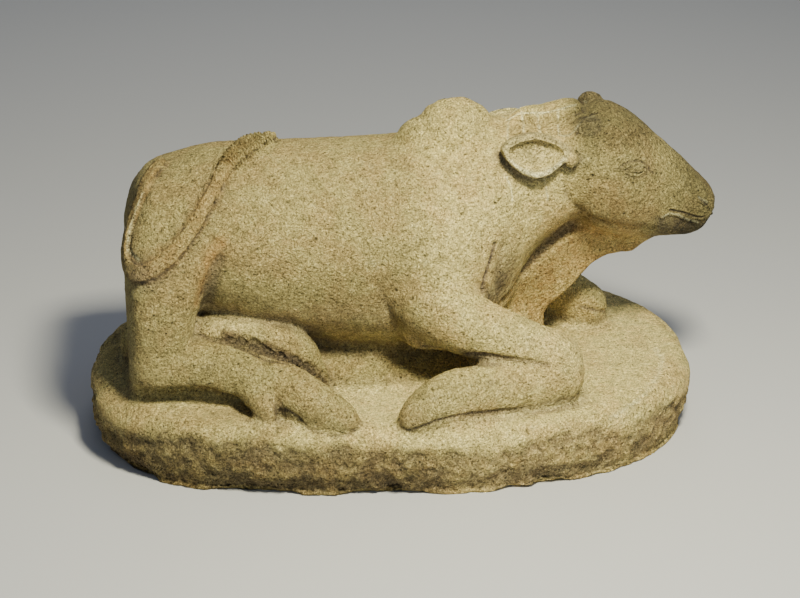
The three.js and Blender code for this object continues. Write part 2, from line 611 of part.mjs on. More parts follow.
// Edge collapse that keeps the skin closed and spends facets where the form turns
function simplify(mesh, target) {
  const points = mesh.positions;
  const count = points.length / 3;
  const faces = mesh.triangles;
  const faceCount = faces.length / 3;
  const alive = new Uint8Array(faceCount).fill(1);
  const around = Array.from({ length: count }, () => new Set());
  const quadrics = new Float64Array(count * 10);
  for (let f = 0; f < faceCount; f += 1) {
    const [a, b, c] = [faces[f * 3], faces[f * 3 + 1], faces[f * 3 + 2]];
    around[a].add(f);
    around[b].add(f);
    around[c].add(f);
    const ux = points[b * 3] - points[a * 3];
    const uy = points[b * 3 + 1] - points[a * 3 + 1];
    const uz = points[b * 3 + 2] - points[a * 3 + 2];
    const vx = points[c * 3] - points[a * 3];
    const vy = points[c * 3 + 1] - points[a * 3 + 1];
    const vz = points[c * 3 + 2] - points[a * 3 + 2];
    let nx = uy * vz - uz * vy;
    let ny = uz * vx - ux * vz;
    let nz = ux * vy - uy * vx;
    const area = Math.hypot(nx, ny, nz) || 1e-12;
    nx /= area;
    ny /= area;
    nz /= area;
    const w = -(nx * points[a * 3] + ny * points[a * 3 + 1] + nz * points[a * 3 + 2]);
    const q = [nx * nx, nx * ny, nx * nz, nx * w, ny * ny, ny * nz, ny * w, nz * nz, nz * w, w * w];
    for (const v of [a, b, c]) {
      for (let i = 0; i < 10; i += 1) {
        quadrics[v * 10 + i] += q[i] * area;
      }
    }
  }
  const sum = new Float64Array(10);
  const error = (q, x, y, z) => q[0] * x * x + 2 * q[1] * x * y + 2 * q[2] * x * z + 2 * q[3] * x
    + q[4] * y * y + 2 * q[5] * y * z + 2 * q[6] * y + q[7] * z * z + 2 * q[8] * z + q[9];
  const spot = new Float64Array(3);
  const best = (a, b) => {
    const q = sum;
    for (let i = 0; i < 10; i += 1) {
      q[i] = quadrics[a * 10 + i] + quadrics[b * 10 + i];
    }
    const det = q[0] * (q[4] * q[7] - q[5] * q[5]) - q[1] * (q[1] * q[7] - q[5] * q[2])
      + q[2] * (q[1] * q[5] - q[4] * q[2]);
    const mx = (points[a * 3] + points[b * 3]) / 2;
    const my = (points[a * 3 + 1] + points[b * 3 + 1]) / 2;
    const mz = (points[a * 3 + 2] + points[b * 3 + 2]) / 2;
    const span = Math.hypot(points[a * 3] - points[b * 3], points[a * 3 + 1] - points[b * 3 + 1],
      points[a * 3 + 2] - points[b * 3 + 2]);
    let cost = error(q, mx, my, mz);
    spot[0] = mx;
    spot[1] = my;
    spot[2] = mz;
    if (Math.abs(det) > 1e-3) {
      const x = -(q[3] * (q[4] * q[7] - q[5] * q[5]) - q[1] * (q[6] * q[7] - q[5] * q[8])
        + q[2] * (q[6] * q[5] - q[4] * q[8])) / det;
      const y = -(q[0] * (q[6] * q[7] - q[5] * q[8]) - q[3] * (q[1] * q[7] - q[5] * q[2])
        + q[2] * (q[1] * q[8] - q[6] * q[2])) / det;
      const z = -(q[0] * (q[4] * q[8] - q[6] * q[5]) - q[1] * (q[1] * q[8] - q[6] * q[2])
        + q[3] * (q[1] * q[5] - q[4] * q[2])) / det;
      const exact = error(q, x, y, z);
      if (Math.hypot(x - mx, y - my, z - mz) < span && exact < cost) {
        cost = exact;
        spot[0] = x;
        spot[1] = y;
        spot[2] = z;
      }
    }
    return cost + 1e-3 * span * span * span;
  };
  const stamp = new Uint32Array(count);
  const heap = [];
  const push = (item) => {
    heap.push(item);
    let i = heap.length - 1;
    while (i > 0) {
      const parent = (i - 1) >> 1;
      if (heap[parent].cost <= heap[i].cost) {
        break;
      }
      [heap[parent], heap[i]] = [heap[i], heap[parent]];
      i = parent;
    }
  };
  const pop = () => {
    const top = heap[0];
    const last = heap.pop();
    if (heap.length) {
      heap[0] = last;
      let i = 0;
      for (;;) {
        const l = i * 2 + 1;
        const r = l + 1;
        let m = i;
        if (l < heap.length && heap[l].cost < heap[m].cost) {
          m = l;
        }
        if (r < heap.length && heap[r].cost < heap[m].cost) {
          m = r;
        }
        if (m === i) {
          break;
        }
        [heap[m], heap[i]] = [heap[i], heap[m]];
        i = m;
      }
    }
    return top;
  };
  const offer = (a, b) => {
    push({ cost: best(a, b), a, b, sa: stamp[a], sb: stamp[b] });
  };
  const ring = (v) => {
    const out = new Set();
    for (const f of around[v]) {
      out.add(faces[f * 3]);
      out.add(faces[f * 3 + 1]);
      out.add(faces[f * 3 + 2]);
    }
    out.delete(v);
    return out;
  };
  for (let v = 0; v < count; v += 1) {
    for (const u of ring(v)) {
      if (u > v) {
        offer(v, u);
      }
    }
  }
  const flips = (v, other, p) => {
    for (const f of around[v]) {
      const ids = [faces[f * 3], faces[f * 3 + 1], faces[f * 3 + 2]];
      if (ids.includes(other)) {
        continue;
      }
      const before = ids.map((id) => [points[id * 3], points[id * 3 + 1], points[id * 3 + 2]]);
      const after = ids.map((id, i) => (id === v ? p : before[i]));
      const normal = ([a, b, c]) => {
        const u = [b[0] - a[0], b[1] - a[1], b[2] - a[2]];
        const w = [c[0] - a[0], c[1] - a[1], c[2] - a[2]];
        return [u[1] * w[2] - u[2] * w[1], u[2] * w[0] - u[0] * w[2], u[0] * w[1] - u[1] * w[0]];
      };
      const n0 = normal(before);
      const n1 = normal(after);
      const l0 = Math.hypot(...n0);
      const l1 = Math.hypot(...n1);
      if (l1 < 0.05 || n0[0] * n1[0] + n0[1] * n1[1] + n0[2] * n1[2] < 0.35 * l0 * l1) {
        return true;
      }
    }
    return false;
  };
  let remaining = faceCount;
  while (remaining > target && heap.length) {
    const { a, b, sa, sb } = pop();
    if (stamp[a] !== sa || stamp[b] !== sb) {
      continue;
    }
    const ra = ring(a);
    const rb = ring(b);
    if (!ra.has(b)) {
      continue;
    }
    let shared = 0;
    for (const v of ra) {
      if (rb.has(v)) {
        shared += 1;
      }
    }
    if (shared !== 2) {
      continue;
    }
    best(a, b);
    const p = [spot[0], spot[1], spot[2]];
    if (flips(a, b, p) || flips(b, a, p)) {
      continue;
    }
    quadrics.set(sum, a * 10);
    for (const f of [...around[b]]) {
      const ids = [faces[f * 3], faces[f * 3 + 1], faces[f * 3 + 2]];
      if (ids.includes(a)) {
        alive[f] = 0;
        remaining -= 1;
        ids.forEach((id) => around[id].delete(f));
      } else {
        faces[f * 3 + ids.indexOf(b)] = a;
        around[a].add(f);
      }
    }
    around[b].clear();
    points.set(p, a * 3);
    stamp[a] += 1;
    stamp[b] += 1;
    for (const u of ring(a)) {
      offer(a, u);
    }
  }
  const index = new Int32Array(count).fill(-1);
  const positions = [];
  const triangles = [];
  for (let f = 0; f < faceCount; f += 1) {
    if (!alive[f]) {
      continue;
    }
    for (let i = 0; i < 3; i += 1) {
      const v = faces[f * 3 + i];
      if (index[v] < 0) {
        index[v] = positions.length / 3;
        positions.push(points[v * 3], points[v * 3 + 1], points[v * 3 + 2]);
      }
      triangles.push(index[v]);
    }
  }
  return { positions, triangles };
}

const room = 3 * LATTICE_STEP;
const halfWidth = BASE_WIDTH * 0.56 + room;
const reach = new THREE.Box3(
  new THREE.Vector3(-BASE_LENGTH / 2 - room, -halfWidth, -BASE_BURIED - room),
  new THREE.Vector3(Math.max(BASE_LENGTH / 2, 485 * MODULE) + room, halfWidth,
    BASE_HEIGHT + 400 * MODULE + room));
const skin = simplify(polygonise(wholeField, reach, LATTICE_STEP), FACET_BUDGET);

// Flat underside: everything below the ground plane is cut away
const wasm = await Module();
wasm.setup();

function toManifold(geometry) {
  return new wasm.Manifold(new wasm.Mesh({
    numProp: 3,
    vertProperties: Float32Array.from(geometry.getAttribute('position').array),
    triVerts: Uint32Array.from(geometry.getIndex().array),
  }));
}

function weldedBox(size, centre) {
  const box = new THREE.BoxGeometry(size.x, size.y, size.z).translate(centre.x, centre.y, centre.z);
  const seen = new Map();
  const source = box.getAttribute('position');
  const points = [];
  const remap = [];
  for (let i = 0; i < source.count; i += 1) {
    const p = [source.getX(i), source.getY(i), source.getZ(i)];
    const key = p.join(' ');
    if (!seen.has(key)) {
      seen.set(key, points.length / 3);
      points.push(...p);
    }
    remap.push(seen.get(key));
  }
  const welded = new THREE.BufferGeometry();
  welded.setAttribute('position', new THREE.Float32BufferAttribute(points, 3));
  welded.setIndex(Array.from(box.getIndex().array, (i) => remap[i]));
  return welded;
}

const skinGeometry = new THREE.BufferGeometry();
skinGeometry.setAttribute('position', new THREE.Float32BufferAttribute(skin.positions, 3));
skinGeometry.setIndex(skin.triangles);
const size = reach.getSize(new THREE.Vector3()).multiplyScalar(1.5);
const above = weldedBox(size, new THREE.Vector3(0, 0, size.z / 2));
const cut = toManifold(skinGeometry).intersect(toManifold(above));
const mesh = cut.getMesh();

const geometry = new THREE.BufferGeometry();
const corners = [];
for (let i = 0; i < mesh.vertProperties.length; i += mesh.numProp) {
  corners.push(mesh.vertProperties[i], mesh.vertProperties[i + 1], mesh.vertProperties[i + 2]);
}
geometry.setAttribute('position', new THREE.Float32BufferAttribute(corners, 3));
geometry.setIndex(Array.from(mesh.triVerts));
geometry.computeVertexNormals();

const andesite = new THREE.MeshStandardMaterial({ color: 0x9c8a62, roughness: 0.93, metalness: 0 });
andesite.name = 'andesite';
const bull = new THREE.Mesh(geometry, andesite);
bull.name = 'nandi_bull_on_oval_base';

const group = new THREE.Group();
group.name = 'nandi_bull_figure';
group.add(bull);

export default group;
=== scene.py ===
import logging
import math
from concurrent.futures import ThreadPoolExecutor
from dataclasses import dataclass
from enum import Enum
from typing import Callable, Iterable, Sequence

import bpy
import numpy as np
from mathutils import Matrix, Vector


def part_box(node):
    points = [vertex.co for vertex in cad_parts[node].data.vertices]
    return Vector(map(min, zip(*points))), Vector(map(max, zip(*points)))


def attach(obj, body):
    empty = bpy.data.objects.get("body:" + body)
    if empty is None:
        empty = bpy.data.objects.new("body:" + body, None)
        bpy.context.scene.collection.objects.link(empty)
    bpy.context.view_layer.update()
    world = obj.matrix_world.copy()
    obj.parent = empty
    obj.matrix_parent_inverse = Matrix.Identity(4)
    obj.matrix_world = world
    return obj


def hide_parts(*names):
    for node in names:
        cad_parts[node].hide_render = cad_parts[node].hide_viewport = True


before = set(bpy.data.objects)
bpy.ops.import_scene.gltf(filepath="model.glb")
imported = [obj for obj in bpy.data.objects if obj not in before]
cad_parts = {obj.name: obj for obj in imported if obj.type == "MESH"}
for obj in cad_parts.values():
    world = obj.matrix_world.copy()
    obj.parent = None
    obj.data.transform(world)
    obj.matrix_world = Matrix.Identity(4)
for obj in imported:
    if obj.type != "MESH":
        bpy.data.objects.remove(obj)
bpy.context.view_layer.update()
LOG = logging.getLogger("nandi")

# All carving below is drawn in millimetres at this overall length, with heights counted from the top of
# the base, and is brought to the frame's own length at the end
DRAWN_LENGTH = 928.6
BASE_HEIGHT = 105.0
STONE_NODE = "nandi_bull_on_oval_base"
PIECE_NAME = "carved_bull_and_base"
TRIANGLE_LIMIT = 196000
GRID_STEP = 3.0
STROKE_STEPS = 16
SEED = 7
# Points lower than this, in metres, are pressed onto the flat underside
UNDERSIDE_BAND = 0.0006
SOCKET = "NodeSocket"
# The near and the far side of the figure
SIDES = (-1, 1)

Array = np.ndarray
Row = Sequence[float]
Rows = Sequence[Row]
Field = Callable[[Array], Array]


def soft_min(a: Array, b: Array, reach: float) -> Array:
    """Union of two distances with a fillet.

    Args:
        a: First distance.
        b: Second distance.
        reach: How far apart the two may be and still blend.

    Returns:
        The blended distance.
    """
    h = np.maximum(reach - np.abs(a - b), 0.0)
    return np.minimum(a, b) - h * h / (4.0 * reach)


def soft_max(a: Array, b: Array, reach: float) -> Array:
    """Intersection of two distances with a fillet, as soft_min's opposite."""
    return -soft_min(-a, -b, reach)


def round_max(a: Array, b: Array, radius: float) -> Array:
    """Intersection of two distances whose edge is a true round of the radius.

    Args:
        a: First distance.
        b: Second distance.
        radius: Radius of the edge.

    Returns:
        The distance to what both hold.
    """
    u = np.maximum(a + radius, 0.0)
    v = np.maximum(b + radius, 0.0)
    return np.minimum(np.maximum(a, b), -radius) + np.hypot(u, v)


def ramp(value: Array, low: float, high: float) -> Array:
    """Smooth step from 0 at low to 1 at high; low may be the larger one."""
    t = np.clip((value - low) / (high - low), 0.0, 1.0)
    return t * t * (3.0 - 2.0 * t)


def oval_distance(u: Array, v: Array, a: Array, b: Array, n: float) -> Array:
    """Radial distance to a superellipse.

    Args:
        u: Coordinates across.
        v: Coordinates up.
        a: Half size across.
        b: Half size up.
        n: Squareness, 2 for an ellipse.

    Returns:
        Distance, negative inside.
    """
    f = np.hypot(u / a, v / b) if n == 2.0 else (np.abs(u / a) ** n + np.abs(v / b) ** n) ** (1.0 / n)
    r = np.hypot(u, v)
    return np.where(f < 1e-4, -np.minimum(a, b), r - r / np.maximum(f, 1e-4))


def hermite(w: Array, p1: Array, p2: Array, m1: Array, m2: Array) -> Array:
    """Smooth step between two rows.

    Args:
        w: Shares of the way, from 0 to 1.
        p1: The first row.
        p2: The second row.
        m1: Slope at the first row.
        m2: Slope at the second row.

    Returns:
        One row for each share.
    """
    return ((2 * w**3 - 3 * w**2 + 1) * p1 + (w**3 - 2 * w**2 + w) * m1
            + (3 * w**2 - 2 * w**3) * p2 + (w**3 - w**2) * m2)


def through(points: Rows, count: int) -> Array:
    """Smooth curve through points.

    Args:
        points: Rows of any width.
        count: Number of steps along the whole curve.

    Returns:
        One row for each of the count + 1 stations.
    """
    p = np.asarray(points, float)
    q = np.vstack([2 * p[0] - p[1], p, 2 * p[-1] - p[-2]])
    t = np.linspace(0.0, len(p) - 1.0, count + 1)
    i = np.minimum(t.astype(int), len(p) - 2)
    p1, p2 = q[i + 1], q[i + 2]
    return hermite((t - i)[:, None], p1, p2, (p2 - q[i]) / 2, (q[i + 3] - p1) / 2)


def beside(p: Array, a: Array, b: Array) -> tuple[Array, Array]:
    """Where points lie beside a straight run.

    Args:
        p: The points.
        a: Start of the run.
        b: Its end.

    Returns:
        The share of the way along the run, from 0 to 1, and the offset from it.
    """
    run = b - a
    t = np.clip((p - a) @ run / max(run @ run, 1e-9), 0.0, 1.0)
    return t, p - a - t[:, None] * run


def onto(form: Field, p: Array, rounds: int = 8, most: float = 4.0) -> Array:
    """Moves points straight onto a form's skin.

    Args:
        form: Field of rows of points.
        p: The points.
        rounds: Steps taken toward the skin.
        most: Longest step.

    Returns:
        The moved points.
    """
    for _ in range(rounds):
        slope = np.stack([form(p + s) - form(p - s) for s in np.eye(3)], 1) / 2
        step = form(p) / np.maximum((slope * slope).sum(1), 0.2)
        p = p - slope * np.clip(step, -most, most)[:, None]
    return p


class Stations:
    """Smooth table through stations whose first column rises."""

    def __init__(self, rows: Rows, steps: int = 12) -> None:
        """Fills the table.

        Args:
            rows: Stations, each with the place first and its values after it.
            steps: Table entries between two stations.
        """
        p = np.asarray(rows, float)
        q = np.vstack([2 * p[0] - p[1], p, 2 * p[-1] - p[-2]])
        table = []
        for i in range(len(p) - 1):
            p0, p1, p2, p3 = q[i:i + 4]
            w = (np.arange(steps) / steps)[:, None]
            span = p2[0] - p1[0]
            m1 = (p2 - p0) / (p2[0] - p0[0]) * span
            m2 = (p3 - p1) / (p3[0] - p1[0]) * span
            part = hermite(w, p1, p2, m1, m2)
            part[:, 0] = p1[0] + span * w[:, 0]
            table.append(part)
        self.table = np.vstack([*table, p[-1:]])

    def at(self, place: Array) -> list[Array]:
        """The values at each place, one array for each column after the first."""
        return [np.interp(place, self.table[:, 0], column) for column in self.table.T[1:]]


class Form:
    """A solid told by the distance of each point from its skin."""

    margin = 50.0

    def __init__(self, low: Row, high: Row) -> None:
        """Keeps the box outside which only the distance to the box is given.

        Args:
            low: The box's low corner.
            high: Its high corner.
        """
        self.low = np.asarray(low, float)
        self.high = np.asarray(high, float)

    def exact(self, p: Array) -> Array:
        """Distance near the form, from rows of x, y and height."""
        raise NotImplementedError

    def distance(self, p: Array) -> Array:
        """Distance everywhere: exact near the box, to the box far from it.

        Args:
            p: Rows of x, y and height.

        Returns:
            Distance, negative inside.
        """
        gap = np.maximum(np.maximum(self.low - p, p - self.high), 0.0)
        away = np.sqrt(np.einsum("ij,ij->i", gap, gap))
        near = away <= self.margin
        if near.any():
            away[near] = self.exact(p[near])
        return away


class SectionLoft(Form):
    """Body of oval sections across X: rows of x, top, bottom and half width."""

    def __init__(self, rows: Rows, squareness: float, rounds: Row, offset: float = 0.0) -> None:
        """Keeps the sections.

        Args:
            rows: The sections, from rear to front.
            squareness: 2 for ellipses, more for squarer sections.
            rounds: Radii of the rounded rear and front end.
            offset: Shift of all sections along Y.
        """
        r = np.asarray(rows, float)
        half = r[:, 3].max()
        super().__init__((r[0, 0], offset - half, r[:, 2].min()), (r[-1, 0], offset + half, r[:, 1].max()))
        self.stations = Stations(rows)
        self.squareness = squareness
        self.rounds = rounds
        self.offset = offset

    def exact(self, p: Array) -> Array:
        """Distance to the section at each x, rounded over at both ends.

        Args:
            p: The points.

        Returns:
            Distance, negative inside.
        """
        x, y, h = p.T
        top, bottom, half = self.stations.at(x)
        d = oval_distance(y - self.offset, h - (top + bottom) / 2, half, (top - bottom) / 2, self.squareness)
        d = round_max(d, self.low[0] - x, self.rounds[0])
        return round_max(d, x - self.high[0], self.rounds[1])


class Upright(Form):
    """Upright oval body beside the axis: rows of height, rear edge, front edge and outer face."""

    squareness = 3.2

    def __init__(self, rows: Rows, side: int, top: Row, foot: Row) -> None:
        """Keeps the sections.

        Args:
            rows: The sections, from foot to top.
            side: -1 near and 1 far.
            top: Height and round of the top.
            foot: Height and round of the foot.
        """
        r = np.asarray(rows, float)
        ends = sorted((0.0, side * r[:, 3].max()))
        super().__init__((r[:, 1].min(), ends[0], foot[0]), (r[:, 2].max(), ends[1], top[0]))
        self.stations = Stations(rows)
        self.side = side
        self.top = top
        self.foot = foot

    def exact(self, p: Array) -> Array:
        """Distance to the section at each height.

        Args:
            p: The points.

        Returns:
            Distance, negative inside.
        """
        x, y, h = p.T
        rear, front, outer = self.stations.at(h)
        d = oval_distance(x - (rear + front) / 2, y - self.side * outer / 2, (front - rear) / 2, outer / 2,
                          self.squareness)
        return round_max(round_max(d, h - self.top[0], self.top[1]), self.foot[0] - h, self.foot[1])


class Chain(Form):
    """Run of round joints: rows of x, y, height and radius."""

    def __init__(self, rows: Array, flatness: float = 1.0) -> None:
        """Keeps the joints; a flatness below one draws the under side down.

        Args:
            rows: The joints.
            flatness: Below one, it draws the under side down.
        """
        self.rows = np.asarray(rows, float)
        r = self.rows[:, 3:4]
        down = np.hstack([r, r, r / flatness])
        super().__init__((self.rows[:, :3] - down).min(0), (self.rows[:, :3] + r).max(0))
        self.flatness = flatness

    def exact(self, p: Array) -> Array:
        """Least distance to any of the tapered joints.

        Args:
            p: The points.

        Returns:
            Distance, negative inside.
        """
        best = np.full(len(p), np.inf)
        for a, b in zip(self.rows[:-1], self.rows[1:]):
            t, off = beside(p, a[:3], b[:3])
            rise = off[:, 2] * np.where(off[:, 2] > 0, 1.0, self.flatness)
            d = np.sqrt(off[:, 0] ** 2 + off[:, 1] ** 2 + rise**2) - (a[3] + (b[3] - a[3]) * t)
            np.minimum(best, d, out=best)
        return best


@dataclass(frozen=True)
class Limb:
    """Round limb along a smooth curve through its rows of x, y, height and radius."""

    rows: Rows
    reach: float
    span_steps: int = 5
    flatness: float = 1.0

    def drawn(self) -> tuple[list[Chain], float]:
        """The limb's joints, and the reach of the fillet where it joins the rest."""
        return [Chain(through(self.rows, (len(self.rows) - 1) * self.span_steps), self.flatness)], self.reach


class Egg(Form):
    """Egg shape, turned about Y."""

    def __init__(self, centre: Row, radii: Row, turn: float = 0.0) -> None:
        """Keeps centre and half sizes; the turn is in degrees.

        Args:
            centre: The middle.
            radii: Half sizes.
            turn: Turn about Y, in degrees.
        """
        c, r = np.asarray(centre, float), np.asarray(radii, float)
        super().__init__(c - r.max(), c + r.max())
        self.centre = c
        self.radii = r
        self.axes = np.array(Matrix.Rotation(math.radians(turn), 3, "Y"))

    def exact(self, p: Array) -> Array:
        """Distance from the scaled radius and its slope.

        Args:
            p: The points.

        Returns:
            Distance, negative inside.
        """
        q = (p - self.centre) @ self.axes / self.radii
        k0 = np.sqrt((q * q).sum(1))
        k1 = np.sqrt(((q / self.radii) ** 2).sum(1))
        return k0 * (k0 - 1.0) / np.maximum(k1, 1e-9)


@dataclass
class OvalBase(Form):
    """Oval base with a soft top edge, wider toward the head end."""

    length: float = 900.0
    width: float = 566.0
    edge_round: float = 30.0
    foot_inset: float = 13.0
    top_inset: float = 0.4
    rear_squareness: float = 3.0
    front_squareness: float = 2.25
    head_flare: float = 0.12
    buried: float = 25.0

    def __post_init__(self) -> None:
        """Boxes the base from well below its underside to its top."""
        half = self.width / 2 * (1 + self.head_flare)
        super().__init__((-self.length / 2, -half, -BASE_HEIGHT - self.buried), (self.length / 2, half, 0))

    def plan(self, x: Array, y: Array) -> Array:
        """How far out a plan point is, 1 on the rim.

        Args:
            x: Places along the base.
            y: Places across it.

        Returns:
            The share of the way to the rim.
        """
        a = self.length / 2
        b = self.width / 2 * (1 + self.head_flare * x / a)
        n = np.where(x < 0, self.rear_squareness, self.front_squareness)
        return (np.abs(x / a) ** n + np.abs(y / b) ** n) ** (1 / n)

    def rim(self, p: Array) -> Array:
        """Distance to the widest rim in plan.

        Args:
            p: The points.

        Returns:
            Distance, negative inside.
        """
        x, y = p[:, 0], p[:, 1]
        slope = np.hypot(self.plan(x + 0.5, y) - self.plan(x - 0.5, y),
                         self.plan(x, y + 0.5) - self.plan(x, y - 0.5))
        return (self.plan(x, y) - 1) / np.maximum(slope, 1 / self.length)

    def exact(self, p: Array) -> Array:
        """Distance with the side drawn in toward the foot and a little toward the top.

        Args:
            p: The points.

        Returns:
            Distance, negative inside.
        """
        middle = BASE_HEIGHT / 2
        up = (p[:, 2] + middle) / middle
        inset = self.foot_inset * np.where(up < 0, np.minimum(-up, 1.0) ** 2, self.top_inset * up**2)
        return round_max(self.rim(p) + inset, p[:, 2], self.edge_round)


@dataclass
class Dewlap(Form):
    """Hanging skin under the throat, a plate bounded by its wavy free edge."""

    free_edge: Rows = ((404, 170), (378, 152), (360, 139), (340, 137), (322, 134), (301, 122), (284, 104),
                       (272, 88), (252, 68), (232, 47), (231, -10))
    inner_corners: Rows = ((120, -10), (120, 200), (300, 260), (410, 240))
    edge_steps: int = 40
    edge_half: float = 10.0
    edge_round: float = 8.0
    root_half: float = 50.0
    root_depth: float = 130.0

    def __post_init__(self) -> None:
        """Boxes the plate and joins its free edge to its hidden corners."""
        super().__init__((120, -40, -10), (420, 40, 260))
        self.margin = 40.0
        self.outline = np.vstack([through(self.free_edge, self.edge_steps), self.inner_corners])

    def outline_distance(self, p: Array) -> Array:
        """Distance to the outline in the X and Z plane, negative inside.

        Args:
            p: The points.

        Returns:
            Distance, negative inside.
        """
        x, z = p[:, 0], p[:, 2]
        best = np.full(len(p), np.inf)
        inside = np.zeros(len(p), bool)
        for a, b in zip(self.outline, np.roll(self.outline, 1, 0)):
            run = b - a
            t = np.clip(((x - a[0]) * run[0] + (z - a[1]) * run[1]) / (run @ run), 0.0, 1.0)
            np.minimum(best, np.hypot(x - a[0] - run[0] * t, z - a[1] - run[1] * t), out=best)
            if a[1] != b[1]:
                inside ^= ((a[1] > z) != (b[1] > z)) & (x < a[0] + run[0] * (z - a[1]) / run[1])
        return np.where(inside, -best, best)

    def exact(self, p: Array) -> Array:
        """Plate that thickens away from its free edge.

        Args:
            p: The points.

        Returns:
            Distance, negative inside.
        """
        d = self.outline_distance(p)
        half = self.edge_half + (self.root_half - self.edge_half) * ramp(-d, 0.0, self.root_depth)
        return round_max(d, np.abs(p[:, 1]) - half, self.edge_round)


@dataclass
class Ear(Form):
    """Leaf shaped ear with a hollow face and a raised rim; its side is -1 near and 1 far."""

    side: int
    half_length: float = 50.0
    half_height: float = 33.5
    bow: float = 6.8
    slant: float = 0.064
    point: float = 1.6
    half_thickness: float = 14.0
    edge_round: float = 5.0
    rim_width: float = 22.5
    rim_round: float = 2.0
    hollow_radius: float = 11.0
    turn: float = 0.12
    lean: float = math.radians(14)

    def __post_init__(self) -> None:
        """Works out the ear's centre, the far one lower, and boxes it."""
        self.centre = np.array([194.0, self.side * 88.0, 316.5 - self.side * 12.0])
        super().__init__(self.centre - (52, 36, 44), self.centre + (52, 36, 44))
        self.margin = 14.0

    def local(self, p: Array) -> tuple[Array, Array, Array]:
        """Each point's place along the ear, out of its face and up it.

        Args:
            p: The points.

        Returns:
            Three arrays, in that order.
        """
        dx = p[:, 0] - self.centre[0]
        dy = self.side * (p[:, 1] - self.centre[1])
        dz = p[:, 2] - self.centre[2]
        out = dy * math.cos(self.lean) + dz * math.sin(self.lean) + self.turn * dx
        return dx, out, dz * math.cos(self.lean) - dy * math.sin(self.lean)

    def leaf(self, along: Array, up: Array) -> Array:
        """Distance to the pointed outline."""
        axis = self.bow * (along / self.half_length) ** 2 - self.slant * along
        return oval_distance(along, up - axis, self.half_length, self.half_height, self.point)

    def exact(self, p: Array) -> Array:
        """Plate of the leaf's outline with its face hollowed inside the rim.

        Args:
            p: The points.

        Returns:
            Distance, negative inside.
        """
        along, out, up = self.local(p)
        leaf = self.leaf(along, up)
        plate = round_max(leaf, np.abs(out) - self.half_thickness, self.edge_round)
        bowl = np.hypot(np.maximum(leaf + self.rim_width, 0.0), out - self.half_thickness)
        return soft_max(plate, self.hollow_radius - bowl, self.rim_round)


def joined(d: Array, p: Array, steps: Iterable[tuple[Sequence[Form], float]]) -> Array:
    """Joins forms to what is there so far.

    Args:
        d: Distance so far.
        p: The points.
        steps: Forms that join together, and the reach of their fillet, in order.

    Returns:
        Distance to the whole.
    """
    for forms, reach in steps:
        d = soft_min(d, np.minimum.reduce([form.distance(p) for form in forms]), reach)
    return d


@dataclass
class Trunk:
    """Body, neck and haunches, the forms that everything else lies on."""

    torso_rows: Rows = (
        (-386, 250, 90, 126), (-366, 282, 92, 140), (-340, 302, 92, 148), (-300, 315, 92, 151),
        (-262, 324, 84, 151), (-213, 327, 67, 151), (-142, 328, 42, 151), (-70, 328, 25, 151),
        (0, 330, 16, 152), (80, 335, 22, 149), (125, 336, 34, 136), (160, 334, 52, 112), (190, 320, 76, 84))
    neck_rows: Rows = ((90, 330, 80, 134), (135, 343, 108, 114), (180, 353, 142, 93), (225, 357, 178, 84),
                       (270, 360, 208, 80), (300, 360, 220, 76))
    shoulder_rows: Rows = ((60, -2, 96, 160), (110, -10, 106, 166), (160, -26, 114, 163),
                           (215, -36, 128, 150), (260, -30, 130, 128))
    haunch_rows: Rows = (
        (-20, -386, -318, 150), (30, -388, -306, 164), (80, -388, -296, 172), (125, -387, -286, 174),
        (165, -386, -272, 171), (205, -384, -260, 161), (245, -376, -252, 138), (285, -360, -262, 96))
    rear_rows: Rows = ((-380, 150, -20, 118), (-340, 150, -20, 118), (-290, 150, -20, 80))
    neck_reach: float = 40.0

    def __post_init__(self) -> None:
        """Draws the forms from rump to throat."""
        self.torso = SectionLoft(self.torso_rows, 2.0, (40, 46))
        self.neck = SectionLoft(self.neck_rows, 2.3, (50, 40))
        self.others = (([Upright(self.shoulder_rows, side, (260, 30), (60, 20)) for side in SIDES], 16),
                       ([Upright(self.haunch_rows, side, (280, 50), (-20, 1)) for side in SIDES], 14),
                       ([SectionLoft(self.rear_rows, 3.0, (26, 30))], 20),
                       ([Egg((-292, 112, 78), (92, 66, 96), 18)], 24))

    def distance(self, p: Array) -> Array:
        """Distance to the joined trunk.

        Args:
            p: The points.

        Returns:
            Distance, negative inside.
        """
        body = soft_min(self.torso.distance(p), self.neck.distance(p), self.neck_reach)
        return joined(body, p, self.others)


